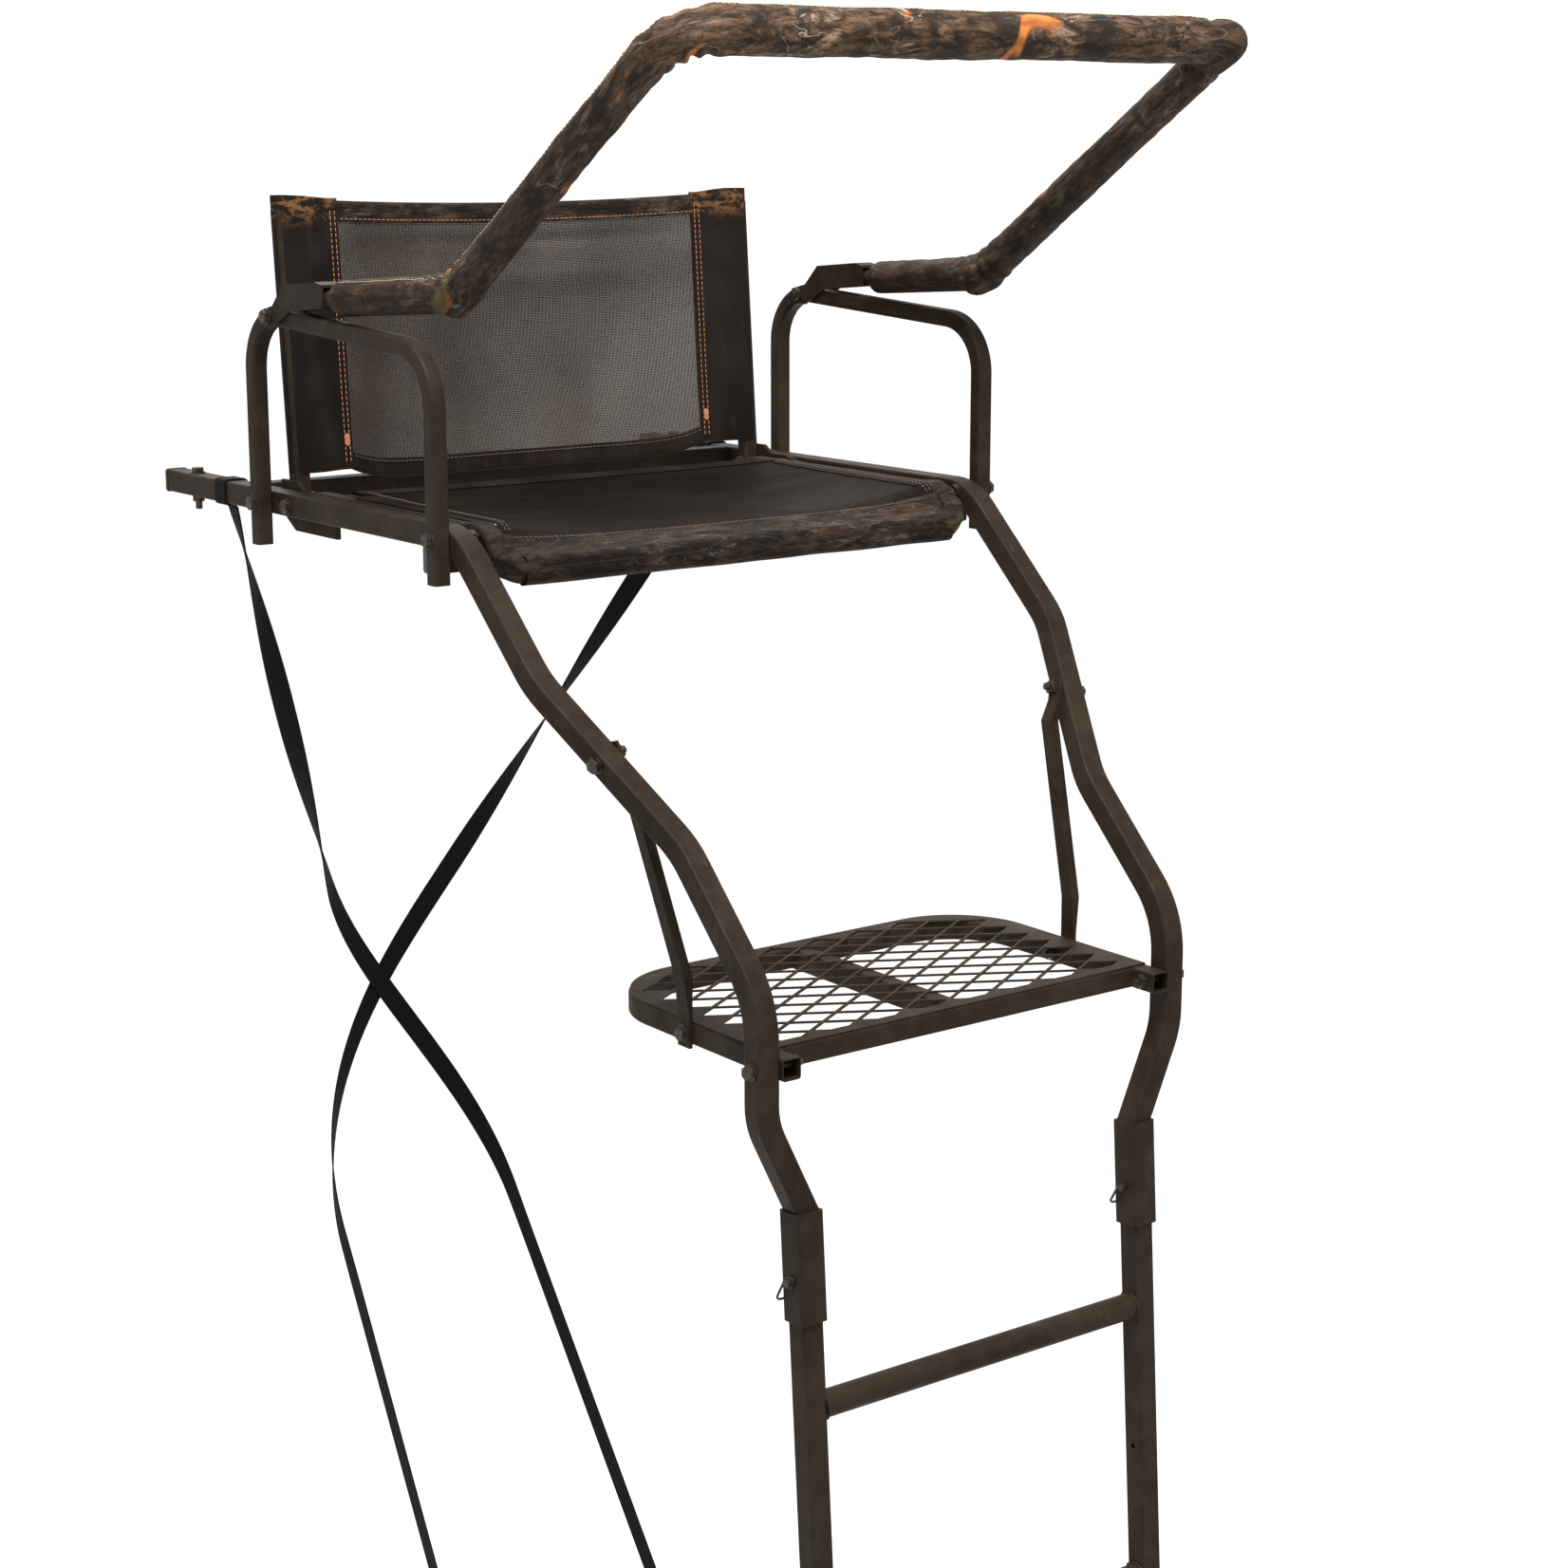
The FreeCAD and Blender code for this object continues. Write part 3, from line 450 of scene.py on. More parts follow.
def makeBackSling():
    b = backSling
    width = 2 * b["stitch"] + 0.012

    def place(u, v):
        return backPanelPoint((u - 0.5) * width, v)

    panel = clothGrid("backSling", 96, 60, place)
    scaleUvs(panel, width, b["high"] - b["low"])
    applyModifier(panel, "SOLIDIFY", thickness=b["cloth"], offset=0.0)
    tidyMesh(panel, 60)
    finishPiece(panel, slingMesh, "stand", ["back_sling"])

    hems = []
    for name, start, end in (("Top", 1.0, 1.0 - b["topHem"]), ("Bottom", 0.0, b["bottomHem"])):
        def hemPlace(u, v, start=start, end=end):
            # down the front, over the edge and up the back
            x = (u - 0.5) * (width - 0.002)
            side = -1 if v < 0.5 else 1
            near = 1 - abs(2 * v - 1)
            t = end + (start - end) * near
            swell = 0.0021 * math.sqrt(max(0.0, 1 - near ** 6))
            ripple = 0.0007 * noise.noise(Vector((x * 30, t * 9, 5.0 + side)))
            out = side * (0.0011 + swell * 0.4) + ripple
            return backPanelPoint(x, t) + Vector((0, out, (start - 0.5) * 0.0022 * near))
        hem = clothGrid("backHem" + name, 90, 20, hemPlace)
        applyModifier(hem, "SOLIDIFY", thickness=0.0009, offset=0.0)
        tidyMesh(hem, 60)
        hems.append(finishPiece(hem, hemCamo if name == "Top" else sleeveCloth, "stand"))

    sleeves = []
    for name, sign in (("Left", -1), ("Right", 1)):
        def sleevePlace(u, v, sign=sign):
            return backSleevePoint(u, v, sign)
        sleeve = clothGrid("backSleeve" + name, 64, 60, sleevePlace)
        applyModifier(sleeve, "SOLIDIFY", thickness=0.0011, offset=0.0)
        tidyMesh(sleeve, 60)
        sleeves.append(finishPiece(sleeve, sleeveCloth, "stand"))
    return panel, hems, sleeves


def backSleevePoint(u, v, sign):
    # one loop of cloth: seam, front of the post, round it and back to the seam
    b = backSling
    z = b["low"] - 0.002 + (b["high"] - b["low"] + 0.006) * v
    half = tubeSizes["arm"] / 2 + 0.0012
    flatShare, overlap = 0.72, 0.004
    seam, inner = b["stitch"], b["post"] - 0.004
    turn = (u - 0.5) * 2
    side = -1 if turn < 0 else 1
    reach = 1 - abs(turn)
    if reach < flatShare:
        t = reach / flatShare
        x = seam - overlap + (inner - seam + overlap) * t
        bulge = 0.0016 + (half - 0.0016) * smoothStep(t * 1.15)
    else:
        angle = (reach - flatShare) / (1 - flatShare) * math.pi / 2
        x = inner + (half + 0.0035) * math.sin(angle)
        bulge = half * math.cos(angle) ** 0.8 if angle < math.pi / 2 - 0.001 else 0.0
    seamY = backPanelPoint(seam, v).y
    blend = smoothStep((x - seam) / 0.035)
    y = seamY * (1 - blend) + backLine(z) * blend + side * bulge
    free = math.sin(math.pi * min(1.0, max(0.0, (x - seam) / (inner - seam))))
    y += free * 0.0035 * noise.noise(Vector((x * 26 + sign * 3, z * 7, side * 4.0)))
    y += free * 0.0012 * math.sin(z * 95 + 4 * noise.noise(Vector((x * 14, z * 8, 7.0 * sign))))
    edge = max(0.0, v - 0.93) / 0.07
    lift = 0.004 * edge * smoothStep((x - seam) / 0.06)
    return Vector((sign * x, y, z + lift))


def scaleUvs(piece, width, length):
    layer = piece.data.uv_layers.active.data
    for loop in layer:
        loop.uv = (loop.uv[0] * width, loop.uv[1] * length)


# seat sling: a mesh panel rolled round the front and rear tubes

seatSling = {
    "half": 0.283,
    "side": 0.300,
    "front": (-0.530, -0.032),
    "rear": (-0.192, -0.0014),
    "rest": (-0.485, -0.0088),
    "mid": (-0.343, -0.0058),
    "level": -0.0014,      # middle of the side tubes
    "length": 0.345,
    "seam": 0.012,         # from the panel's side edges to the sleeves' seams
    "cloth": 0.0012,
}


def seatMiddleLine(y, top):
    # over the rest tube, then one hanging curve back to the rear tube
    (y0, z0), (y1, z1) = seatSling["rest"], seatSling["mid"]
    y2, z2 = seatSling["rear"][0], seatSling["rear"][1] + top
    if y < y0:
        start = seatSling["front"]
        t = (y - start[0]) / (y0 - start[0])
        return start[1] + top + (z0 - start[1] - top) * math.sin(t * math.pi / 2)
    a = (y - y1) * (y - y2) / ((y0 - y1) * (y0 - y2))
    b = (y - y0) * (y - y2) / ((y1 - y0) * (y1 - y2))
    c = (y - y0) * (y - y1) / ((y2 - y0) * (y2 - y1))
    return a * z0 + b * z1 + c * z2


def seatPanelPoint(x, t):
    # t runs from the front roll to the rear roll
    s = seatSling
    half = tubeSizes["seat"] / 2 + 0.0008
    (y0, z0), (y1, z1) = s["front"], s["rear"]
    along = x / s["half"]
    middle = max(0.0, 1 - along ** 4)
    y = y0 + (y1 - y0) * t
    z = z0 + half + (z1 - z0) * smoothStep((y - y0) / 0.044)
    z += (seatMiddleLine(y, half) - z) * middle
    free = middle * math.sin(math.pi * smoothStep(max(0.0, (t - 0.2) / 0.8)))
    z += 0.0030 * free * noise.noise(Vector((x * 6, y * 9, 1.0)))
    z += 0.0017 * free * math.sin(y * 105 + 2.5 * noise.noise(Vector((x * 3, y * 4, 6.0))))
    wider = 1 + 0.028 * (1 - smoothStep((y - y0 - 0.012) / 0.045))
    return Vector((x * wider, y, z))


def seatShare(y):
    return (y - seatSling["front"][0]) / (seatSling["rear"][0] - seatSling["front"][0])


def makeSeatSling():
    s = seatSling

    def place(u, v):
        return seatPanelPoint((u - 0.5) * 2 * s["half"], v)

    panel = clothGrid("seatSling", 96, 72, place)
    scaleUvs(panel, 2 * s["half"], s["length"])
    applyModifier(panel, "SOLIDIFY", thickness=s["cloth"], offset=0.0)
    tidyMesh(panel, 60)
    finishPiece(panel, seatMesh, "seat", ["seat_sling"])

    rolls = []
    for name, centre, reach, droop in (("Front", s["front"], 0.026, 0.004), ("Rear", s["rear"], 0.018, 0.0)):
        outward = -1 if name == "Front" else 1

        def rollPlace(u, v, centre=centre, reach=reach, droop=droop, outward=outward):
            # from the seam on the seat, round the tube, and back under to the seam
            x = (u - 0.5) * 2 * (s["half"] - 0.001)
            cy, cz = centre
            r = tubeSizes["seat"] / 2 + 0.0026
            wave = noise.noise(Vector((x * 16, v * 5, 9.0 * outward)))
            if v < 0.2:
                y = cy - outward * reach * (1 - v / 0.2)
                return seatPanelPoint(x, seatShare(y)) + Vector((0, 0, 0.0016 + 0.0008 * v / 0.2))
            if v > 0.85:
                back = (v - 0.85) / 0.15
                y = cy - outward * reach * back
                return Vector((x, y, cz - r - droop * 0.7 + 0.001 * wave + 0.004 * back))
            angle = math.pi / 2 + (v - 0.2) / 0.65 * math.pi
            squareness = 1 + 0.14 * math.sin(2 * angle) ** 2
            hang = droop * smoothStep((v - 0.45) / 0.4)
            y = cy - outward * r * squareness * math.cos(angle)
            z = cz + r * squareness * math.sin(angle) - hang + 0.0008 * wave
            return Vector((x, y, z))
        roll = clothGrid("seatRoll" + name, 96, 44, rollPlace)
        applyModifier(roll, "SOLIDIFY", thickness=0.0010, offset=0.0)
        tidyMesh(roll, 60)
        rolls.append(finishPiece(roll, hemCamo if name == "Front" else sleeveCloth, "seat"))

    sleeves = []
    for name, sign in (("Left", -1), ("Right", 1)):
        def sidePlace(u, v, sign=sign):
            # round the side tube, with both edges sewn to the panel
            y = -0.488 + 0.268 * v
            angle = math.radians(-55 - 250 * u)
            c, q = math.cos(angle), math.sin(angle)
            size = tubeSizes["seat"] / 2 + 0.0006
            grow = size * min(1 / max(abs(c), 0.001), 1 / max(abs(q), 0.001), 1.22)
            wave = 0.0005 * noise.noise(Vector((u * 6, y * 25, sign * 2.0)))
            x = s["side"] + grow * c
            z = s["level"] + (grow + wave) * q * (0.995 if q < 0 else 1.05)
            if u > 0.86:
                t = (u - 0.86) / 0.14
                seam = s["half"] - s["seam"]
                x = x * (1 - t) + seam * t
                z = z * (1 - t) + (seatPanelPoint(seam, seatShare(y)).z + 0.0014) * t
            return Vector((sign * x, y, z))
        sleeve = clothGrid("seatSleeve" + name, 40, 60, sidePlace)
        applyModifier(sleeve, "SOLIDIFY", thickness=0.0006, offset=0.0)
        tidyMesh(sleeve, 60)
        sleeves.append(finishPiece(sleeve, sleeveCloth, "seat"))
    corners = [makeSeatCorner(name, sign) for name, sign in (("Left", -1), ("Right", 1))]
    return panel, rolls, sleeves + corners


def makeSeatCorner(name, sign):
    # cloth gathered round the bend of the seat frame, under the end of the front roll
    s = seatSling
    (frontY, frontZ), side, level = s["front"], s["side"], s["level"]
    bend = [(side, frontY + 0.060, level), (side, frontY + 0.036, level), (side, frontY, frontZ),
            (side - 0.030, frontY, frontZ)]
    path = roundedPath(bend, (0.028, 0.024), 0.001)
    half = tubeSizes["seat"] / 2 + 0.0010
    frames, flat = [], Vector((0, 0, -1))
    for k in range(len(path)):
        ahead = (path[min(len(path) - 1, k + 2)] - path[max(0, k - 2)]).normalized()
        if ahead.x > -0.01:
            flat = ahead.cross(Vector((-1, 0, 0))).normalized()
        frames.append((ahead.cross(flat).normalized(), flat))

    def place(u, v):
        k = round(v * (len(path) - 1))
        angle = 2 * math.pi * u
        c, q = math.cos(angle), math.sin(angle)
        grow = half * min(1 / max(abs(c), 0.001), 1 / max(abs(q), 0.001), 1.26)
        grow += 0.0009 * abs(math.sin(k * 0.21 + 1.5 * c + sign)) * smoothStep(v * 6)
        grow += 0.0006 * noise.noise(Vector((k * 0.15, 2 * c, 2 * q + sign)))
        across, flat = frames[k]
        point = path[k] + across * grow * c + flat * grow * q
        return Vector((sign * point.x, point.y, point.z))

    corner = clothGrid("seatCorner" + name, 40, len(path) - 1, place)
    applyModifier(corner, "SOLIDIFY", thickness=0.0008, offset=0.0)
    tidyMesh(corner, 60)
    return finishPiece(corner, hemCamo, "seat")


# padded cover of the shooting rail

railPad = {
    "start": (0.3585, -0.3090, 0.2310),
    "bend": (0.3420, -0.519, 0.244),
    "corner": (0.341, -0.889, 0.490),
    "radii": (0.060, 0.050, 0.050, 0.060),
    "radius": 0.0192,
    "frontRadius": 0.0226,
    "armTop": 0.0186,      # no fuller than this underneath, where it lies along the arm
    "seam": 2.15,
    "points": (0.0100, 0.0230, 0.0030, 0.0080),   # how far the cover stands out at each bend
    "around": 40,
    "along": 760,
}


def roundedPath(points, radii, step=0.002):
    # straight runs joined by tangent arcs, as evenly spaced points
    points = [Vector(p) for p in points]
    out, last = [], points[0]
    for a, b, c, radius in zip(points, points[1:], points[2:], radii):
        u, w = (a - b).normalized(), (c - b).normalized()
        half = u.angle(w) / 2
        first, second = b + u * radius / math.tan(half), b + w * radius / math.tan(half)
        centre = b + (u + w).normalized() * radius / math.sin(half)
        out.append((last, first))
        spoke, lastSpoke = first - centre, second - centre
        arc = [centre + spoke.slerp(lastSpoke, k / 16).normalized() * radius for k in range(17)]
        out += list(zip(arc, arc[1:]))
        last = second
    out.append((last, points[-1]))
    dense = []
    for a, b in out:
        count = max(1, int((b - a).length / step))
        dense += [a.lerp(b, k / count) for k in range(count)]
    return dense + [points[-1]]


def padAxes(path, k):
    a, b = path[max(0, k - 6)], path[min(len(path) - 1, k + 7)]
    ahead = (b - a).normalized()
    side = ahead.cross(Vector((0, 0.35, 1))).normalized()
    return side, side.cross(ahead).normalized()


def makeRailPad():
    p = railPad
    right = [p["start"], p["bend"], p["corner"]]
    points = right + [(-x, y, z) for x, y, z in reversed(right)]
    path = roundedPath(points, p["radii"], 0.001)
    lengths = [0.0]
    for a, b in zip(path, path[1:]):
        lengths.append(lengths[-1] + (b - a).length)
    total = lengths[-1]
    corners = [min(range(len(path)), key=lambda k: (path[k] - Vector(c)).length) for c in points[1:-1]]
    cornerAt = [lengths[k] for k in corners]

    def place(u, v):
        at = v * total
        low = min(len(path) - 2, int(v * (len(path) - 1)))
        while lengths[low] > at and low > 0:
            low -= 1
        while low < len(path) - 2 and lengths[low + 1] < at:
            low += 1
        span = lengths[low + 1] - lengths[low] or 1
        centre = path[low].lerp(path[low + 1], (at - lengths[low]) / span)
        side, up = padAxes(path, low)
        angle = 2 * math.pi * u + p["seam"]
        out = side * math.cos(angle) + up * math.sin(angle)
        near = [math.exp(-((at - c) / 0.040) ** 2) for c in cornerAt]
        middle = smoothStep((at - cornerAt[1]) / 0.05) * smoothStep((cornerAt[2] - at) / 0.05)
        r = p["radius"] + (p["frontRadius"] - p["radius"]) * middle
        r *= 1 + 0.055 * noise.noise(Vector((at * 14, math.cos(angle) * 0.9, math.sin(angle) * 0.9)))
        r += 0.0009 * noise.noise(Vector((at * 60, math.cos(angle) * 2.2, math.sin(angle) * 2.2)))
        for k, (c, close) in enumerate(zip(cornerAt, near)):
            outer = out.dot((path[corners[k]] - middleOf(points, k)).normalized())
            folds = math.sin((at - c) * 300 + 1.3 * math.cos(angle) + 2.4 * noise.noise(centre * 40))
            r += close * (0.0021 * folds * (0.85 - 0.5 * outer) + 0.0012)
            r += p["points"][k] * math.exp(-((at - c) / 0.015) ** 2) * max(0.0, outer) ** 2
        ends = min(at, total - at)
        r -= 0.0045 * (1 - smoothStep(ends / 0.010)) + 0.0030 * (1 - smoothStep(ends / 0.0025))
        if centre.y > -0.50 and out.z < -0.2:
            r = min(r, p["armTop"])
        return centre + out * r

    pad = clothGrid("railPad", p["around"], p["along"], place)
    scaleUvs(pad, 2 * math.pi * p["radius"], total)
    takeUp(pad)
    bpy.ops.object.mode_set(mode="EDIT")
    bpy.ops.mesh.select_all(action="SELECT")
    bpy.ops.mesh.remove_doubles(threshold=0.00001)
    bpy.ops.mesh.select_all(action="DESELECT")
    bpy.ops.mesh.select_non_manifold(extend=False)
    bpy.ops.mesh.edge_face_add()
    bpy.ops.object.mode_set(mode="OBJECT")
    tidyMesh(pad, 70)
    finishPiece(pad, padCamo, "shooting_rail", ["shooting_rail_pad"])
    return pad, path


def middleOf(points, k):
    # a point on the inner side of bend k, for the folds
    return (Vector(points[k]) + Vector(points[k + 2])) / 2


print("making slings")
backPanel, backHems, backSleeves = makeBackSling()
seatPanel, seatRolls, seatSleeves = makeSeatSling()
print("making pad")
pad, padPath = makeRailPad()


# stitching: one stitch modelled once and laid along each seam

forward = Vector((0, -1, 0))


def makeStitch(length=0.0042, radius=0.00045):
    deselectAll()
    bpy.ops.mesh.primitive_cylinder_add(vertices=6, radius=radius, depth=length,
                                        rotation=(0, math.pi / 2, 0))
    stitch = bpy.context.object
    settle(stitch)
    bpy.ops.object.mode_set(mode="EDIT")
    bpy.ops.mesh.select_all(action="SELECT")
    bpy.ops.mesh.bevel(offset=radius * 0.45, segments=1)
    bpy.ops.object.mode_set(mode="OBJECT")
    return stitch


def sewLine(name, lines, outs, material, body, pitch=0.0062):
    # stitches lie on the cloth along each line; outs is one way out of the cloth, or one at each point
    stitch = makeStitch()
    vertices = [v.co.copy() for v in stitch.data.vertices]
    faces = [list(f.vertices) for f in stitch.data.polygons]
    bpy.data.objects.remove(stitch)
    allVertices, allFaces = [], []
    for line in lines:
        travelled, wanted = 0.0, pitch / 2
        ways = [outs] * len(line) if isinstance(outs, Vector) else outs
        for a, b, normal in zip(line, line[1:], ways):
            length = (b - a).length
            while travelled + length > wanted:
                at = a.lerp(b, (wanted - travelled) / length)
                ahead = (b - a).normalized()
                lift = (normal - ahead * normal.dot(ahead)).normalized()
                side = lift.cross(ahead)
                start = len(allVertices)
                for v in vertices:
                    allVertices.append(at + ahead * v.x + side * v.y + lift * (v.z + 0.0003))
                allFaces += [[start + k for k in f] for f in faces]
                wanted += pitch
            travelled += length
    mesh = bpy.data.meshes.new(name)
    mesh.from_pydata(allVertices, [], allFaces)
    thread = bpy.data.objects.new(name, mesh)
    bpy.context.collection.objects.link(thread)
    tidyMesh(thread, 50, 0.0000001)
    return finishPiece(thread, material, body)


def sewBack():
    lines = []
    for sign in (-1, 1):
        for inset in (0.0, 0.006):
            x = backSling["stitch"] + inset
            line = []
            for k in range(80):
                t = 0.02 + 0.96 * k / 79
                point = backPanelPoint(backSling["stitch"], t)
                line.append(Vector((sign * x, point.y - 0.0026 - 0.10 * inset, point.z)))
            lines.append(line)
    low, high = ([backPanelPoint(-0.24 + 0.48 * k / 90, t, 0.0030) for k in range(91)]
                 for t in backSling["hemStitches"])
    lines.append(high)
    return [sewLine("backStitching", lines, forward, orangeThread, "stand"),
            sewLine("backHemStitching", [low], forward, brownThread, "stand")]


def sewTacks():
    # a dense oval of thread closes the lower end of each sleeve seam
    lines = []
    for sign in (-1, 1):
        for k in range(-3, 4):
            x = backSling["stitch"] + 0.003 + 0.0009 * k
            reach = 0.0216 * math.sqrt(1 - (k / 4) ** 2)
            line = []
            for lift in (-1, -0.5, 0, 0.5, 1):
                point = backPanelPoint(backSling["stitch"], backSling["tack"] + lift * reach)
                line.append(Vector((sign * x, point.y - 0.0033, point.z)))
            lines.append(line)
    return sewLine("backTacks", lines, forward, orangeThread, "stand", 0.0031)


def sewSeat():
    lines = []
    seam = seatSling["half"] - seatSling["seam"]
    for sign in (-1, 1):
        for inset in (0.0055, 0.0105):
            line = []
            for k in range(80):
                point = seatPanelPoint(seam, 0.08 + 0.84 * k / 79)
                line.append(Vector((sign * (seam + inset), point.y, point.z + 0.0028 + 0.2 * inset)))
            lines.append(line)
    lift = Vector((0, 0, 0.0028))
    lines.append([seatPanelPoint(-0.27 + 0.54 * k / 90, 0.065) + lift for k in range(91)])
    return sewLine("seatStitching", lines, Vector((0, 0, 1)), brownThread, "seat")


def sewPad():
    # the cover is closed by one seam along its upper inner side
    line, outs = [], []
    for k in range(12, len(padPath) - 12, 3):
        side, up = padAxes(padPath, k)
        lift = (up * math.sin(railPad["seam"]) + side * math.cos(railPad["seam"])).normalized()
        hit, where, normal, face = pad.ray_cast(padPath[k] + lift * 0.04, -lift)
        if hit:
            line.append(where + lift * 0.0001)
            outs.append(lift)
    return sewLine("padStitching", [line], outs, goldThread, "shooting_rail")


print("sewing")
backThreads = sewBack()
backTacks = sewTacks()
seatThread = sewSeat()
sewPad()
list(seatRolls)
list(seatSleeves)


# stabiliser straps: webbing from each rail, round the back of the trunk, to the far ladder leg

strapFacts = {
    "width": 0.025,
    "thick": 0.0020,
    "rail": (-0.337, -0.002, -0.0130),
    "trunk": (0.0, 0.165),
    "radius": 0.128,
    "foot": 2.290,         # how far down the ladder the strap ends
}


def touchAngle(point, radius, way):
    # where a taut run from the point first meets the trunk, seen from above
    x, y = point.x - strapFacts["trunk"][0], point.y - strapFacts["trunk"][1]
    return math.atan2(y, x) + way * math.acos(radius / math.hypot(x, y))


def strapStations(over):
    f = strapFacts
    start = Vector(f["rail"])
    end = downLadder(f["foot"], ladderSizes["x"]) + Vector((-0.002, 0.013, 0))
    radius = f["radius"] + over
    first, last = touchAngle(start, radius, -1) + 2 * math.pi, touchAngle(end, radius, 1)
    centre = Vector((*f["trunk"], 0))
    normals = [Vector((math.cos(a), math.sin(a), 0)) for a in (first, last)]
    meet, leave = (centre + normal * radius for normal in normals)
    runs = [(meet.xy - start.xy).length, radius * (first - last), (end.xy - leave.xy).length]
    slope = (end.z - start.z) / sum(runs)
    meet.z = start.z + slope * runs[0]
    leave.z = meet.z + slope * runs[1]
    way = (meet - start).normalized()
    flat = (Vector((0, 1, 0)) - way * way.y).normalized()
    snug = way.cross(normals[0]).normalized()
    across = way.cross(snug)
    lying = math.atan2(flat.dot(across), flat.dot(snug))
    twist = lying + math.copysign(math.pi, lying)
    stations = []
    for k in range(60):
        # the webbing leaves the rail flat and is turned over once on its way to the trunk
        turn = twist * (1 - k / 60)
        stations.append((start.lerp(meet, k / 60), snug * math.cos(turn) + across * math.sin(turn)))
    for k in range(61):
        turn = first + (last - first) * k / 60
        normal = Vector((math.cos(turn), math.sin(turn), 0))
        tangent = Vector((math.sin(turn), -math.cos(turn), slope))
        at = centre + normal * radius + Vector((0, 0, meet.z + slope * runs[1] * k / 60))
        stations.append((at, tangent.cross(normal).normalized()))
    wide = (end - leave).normalized().cross(normals[1]).normalized()
    for k in range(1, 121):
        stations.append((leave.lerp(end, k / 120), wide))
    eased = []
    for k in range(len(stations)):
        near = [stations[min(len(stations) - 1, max(0, k + d))][1] for d in range(-4, 5)]
        eased.append((stations[k][0], sum(near, Vector()).normalized()))
    return eased


def makeStrap(name, over, mirror, node):
    f = strapFacts
    stations = strapStations(over)
    lengths = [0.0]
    for (a, _), (b, _) in zip(stations, stations[1:]):
        lengths.append(lengths[-1] + (b - a).length)

    def place(u, v):
        k = min(len(stations) - 1, round(v * (len(stations) - 1)))
        point, wide = stations[k]
        return point + wide * (u - 0.5) * f["width"]

    strap = clothGrid(name, 6, len(stations) - 1, place)
    layer = strap.data.uv_layers.active.data
    for loop in layer:
        k = round(loop.uv[1] * (len(stations) - 1))
        loop.uv = (loop.uv[0] * f["width"], lengths[k])
    applyModifier(strap, "SOLIDIFY", thickness=f["thick"], offset=0.0)
    legWay = (downLadder(1) - downLadder(0)).normalized()
    loops = [strapLoop((f["rail"][0], f["rail"][1], 0.0), Vector((0, 1, 0))),
             strapLoop(downLadder(f["foot"], ladderSizes["x"]), legWay)]
    strap = joinPieces([strap, *loops], name)
    if mirror:
        for v in strap.data.vertices:
            v.co.x = -v.co.x
    tidyMesh(strap, 50)
    return finishPiece(strap, blackWebbing, "stand", [node])


def strapLoop(centre, along):
    # the webbing turned once round a square tube
    f = strapFacts
    half = tubeSizes["main"] / 2 + 0.0013
    side = Vector((1, 0, 0))
    up = side.cross(along)
    outline = []
    for k in range(40):
        angle = 2 * math.pi * k / 40
        c, q = math.cos(angle), math.sin(angle)
        grow = half * min(1 / max(abs(c), 0.001), 1 / max(abs(q), 0.001), 1.3)
        outline.append((grow * c, grow * q))

    def place(u, v):
        x, z = outline[round(v * 40) % 40]
        return Vector(centre) + along * (u - 0.5) * f["width"] + side * x + up * z

    loop = clothGrid("strapLoop", 6, 40, place)
    scaleUvs(loop, f["width"], 8 * half)
    tidyMesh(loop, 50)
    applyModifier(loop, "SOLIDIFY", thickness=f["thick"], offset=0.0)
    return loop


print("making straps")
makeStrap("strapLeft", 0.0, False, "stabiliser_strap_left")
makeStrap("strapRight", 0.0032, True, "stabiliser_strap_right")


# weld beads where tubes meet

def makeBead(centre, along, radius, thickness, segments=28):
    deselectAll()
    bpy.ops.mesh.primitive_torus_add(major_radius=radius, minor_radius=thickness, major_segments=segments,
                                     minor_segments=6)
    bead = bpy.context.object
    turn = Vector((0, 0, 1)).rotation_difference(Vector(along))
    seed = sum(centre) * 50
    for v in bead.data.vertices:
        angle = math.atan2(v.co.y, v.co.x)
        ripple = 1 + 0.05 * math.sin(angle * 14 + seed) + 0.03 * noise.noise(Vector((angle * 3, seed, 0)))
        v.co = turn @ (Vector((v.co.x * ripple, v.co.y * ripple, v.co.z * 1.1))) + Vector(centre)
    return bead


def makeWelds():
    beads = []
    for k in range(ladderSizes["rungs"]):
        at = ladderSizes["firstRung"] + k * ladderSizes["step"]
        for sign in (-1, 1):
            x = sign * (ladderSizes["x"] - tubeSizes["main"] / 2 - 0.0008)
            beads.append(makeBead(downLadder(at, x), (1, 0, 0), tubeSizes["rung"] + 0.0006, 0.0017))
    whole = joinPieces(beads, "rungWelds")
    tidyMesh(whole, 60)
    return finishPiece(whole, framePaint, "stand")


print("welding")
makeWelds()


# floor, light and camera

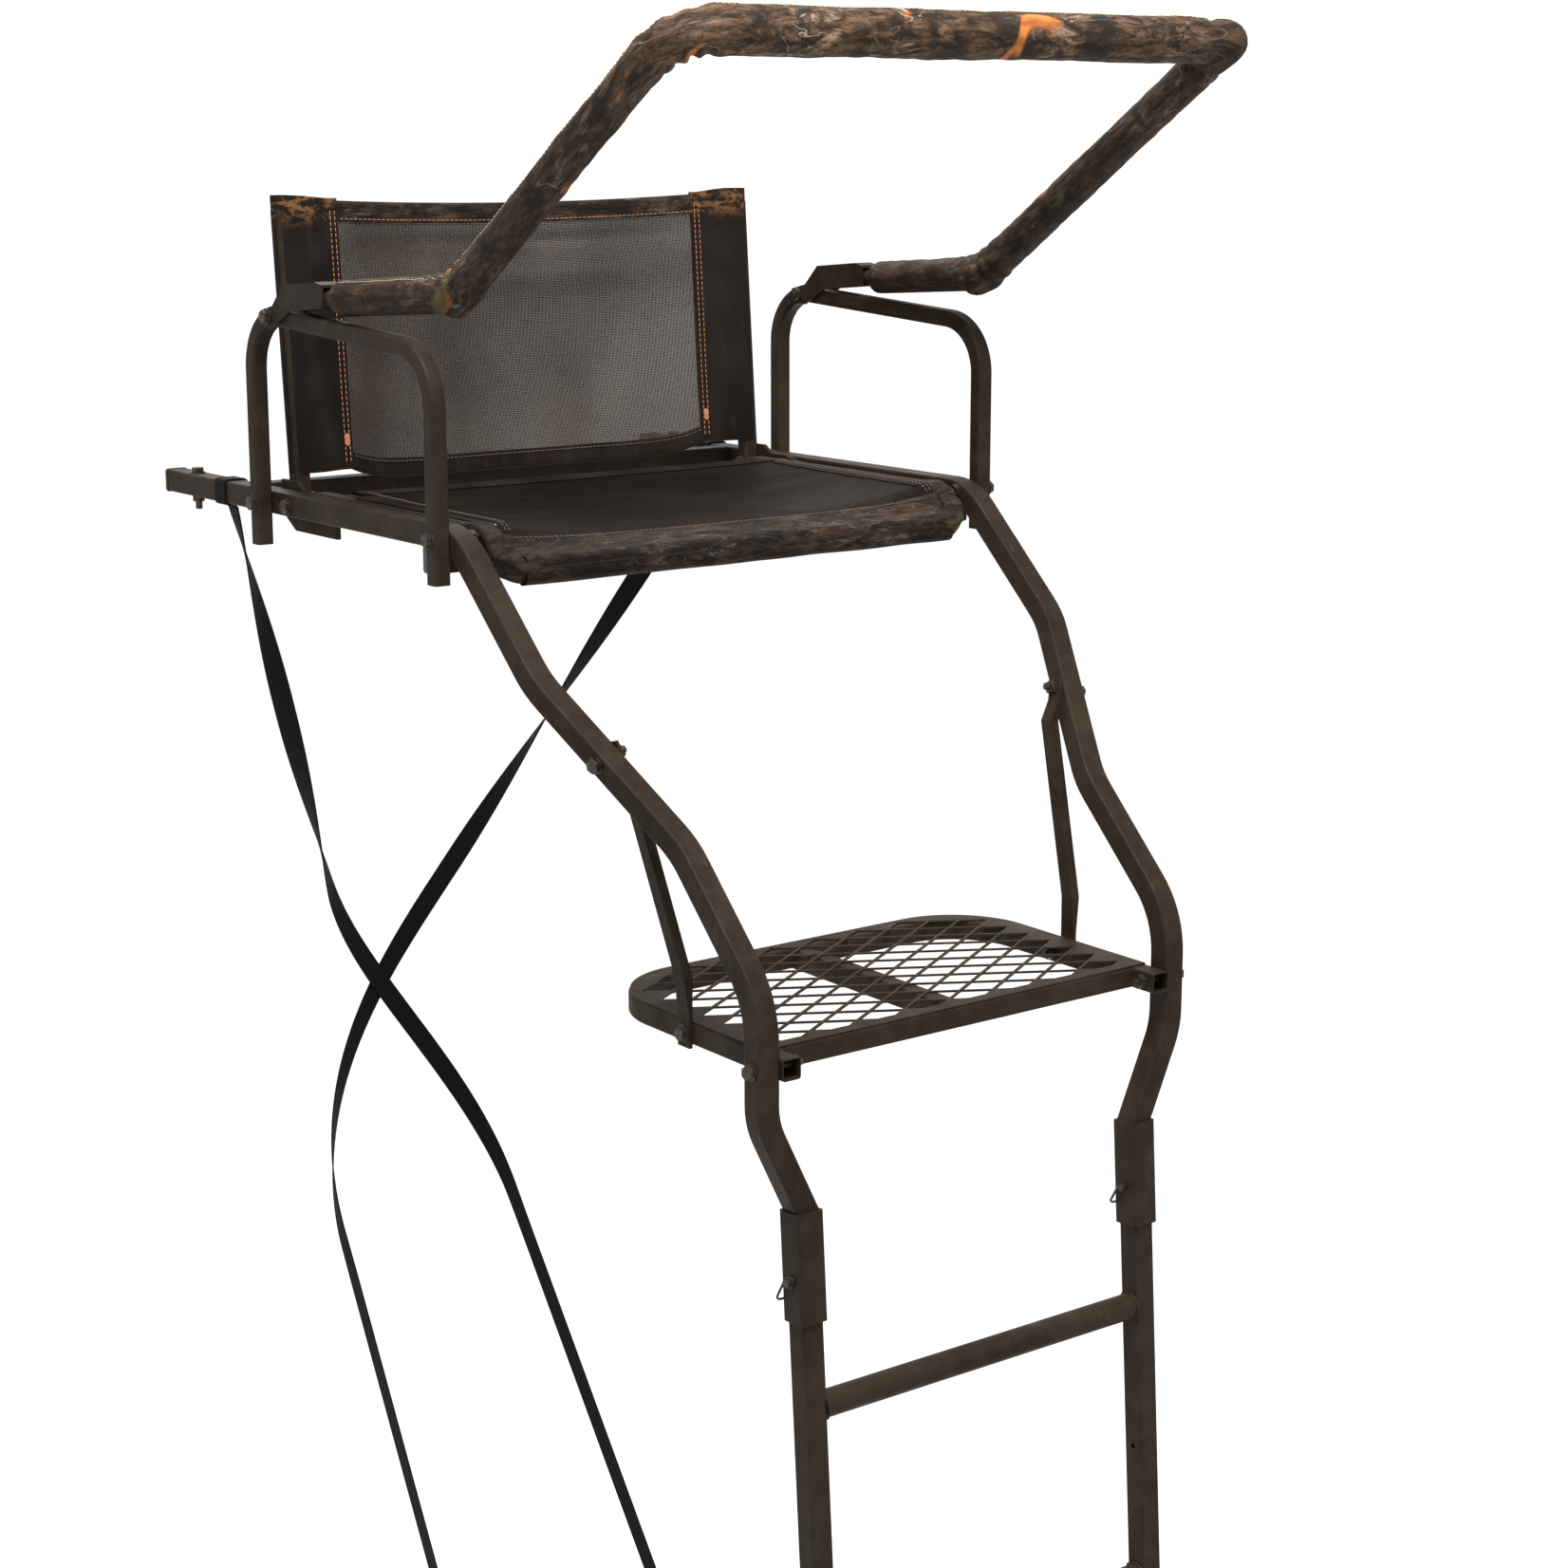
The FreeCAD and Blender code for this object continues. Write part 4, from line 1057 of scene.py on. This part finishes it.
studio = {
    "floorRadius": 60.0,
    "floorColour": (0.96, 0.96, 0.96, 1.0),
    "sky": (1.0, 1.0, 1.0, 1.0),
    "skyStrength": 1.08,
}

view = {
    "place": (-1.8766, -3.0800, 0.4095),
    "heading": math.radians(37.12),
    "down": math.radians(12.53),
    "lens": 68.3,
}


def makeFloor():
    ground = cadBox[0][2]
    deselectAll()
    bpy.ops.mesh.primitive_circle_add(vertices=128, radius=studio["floorRadius"], fill_type="NGON",
                                      location=(0, 0, ground - 0.0002))
    floor = bpy.context.object
    floor.name = "floor"
    n = Nodes("paleFloor")
    base = n.mix(n.noise(0.6, detail=4.0), rgb(0.95, 0.95, 0.95), studio["floorColour"])
    floor.data.materials.append(n.finish(base, n.ramp(n.noise(3.0), 0.3, 0.7, 0.75, 0.85)))


def makeLight(name, place, target, size, power, colour=(1, 1, 1)):
    deselectAll()
    bpy.ops.object.light_add(type="AREA", location=place)
    light = bpy.context.object
    light.name = name
    light.data.size = size
    light.data.energy = power
    light.data.color = colour
    light.rotation_euler = (Vector(target) - Vector(place)).to_track_quat("-Z", "Y").to_euler()


def makeStudio():
    makeFloor()
    world = bpy.data.worlds.new("studio")
    bpy.context.scene.world = world
    world.use_nodes = True
    world.node_tree.nodes["Background"].inputs["Color"].default_value = studio["sky"]
    world.node_tree.nodes["Background"].inputs["Strength"].default_value = studio["skyStrength"]
    makeLight("keyLight", (-1.0, -2.4, 4.2), (0, -0.5, -0.1), 1.8, 640)
    makeLight("fillLight", (-4.5, -2.0, 1.6), (0, -0.4, -0.4), 3.0, 30)
    makeLight("rimLight", (1.5, 3.2, 3.6), (0, -0.3, -0.2), 2.4, 140)
    bpy.context.scene.view_settings.view_transform = "Standard"


def makeCamera():
    bpy.ops.object.camera_add(location=view["place"],
                              rotation=(math.pi / 2 - view["down"], 0, -view["heading"]))
    camera = bpy.context.object
    camera.data.lens = view["lens"]
    camera.data.sensor_width = 36.0
    camera.data.clip_end = 300.0
    bpy.context.scene.camera = camera


print("lighting")
makeStudio()
makeCamera()
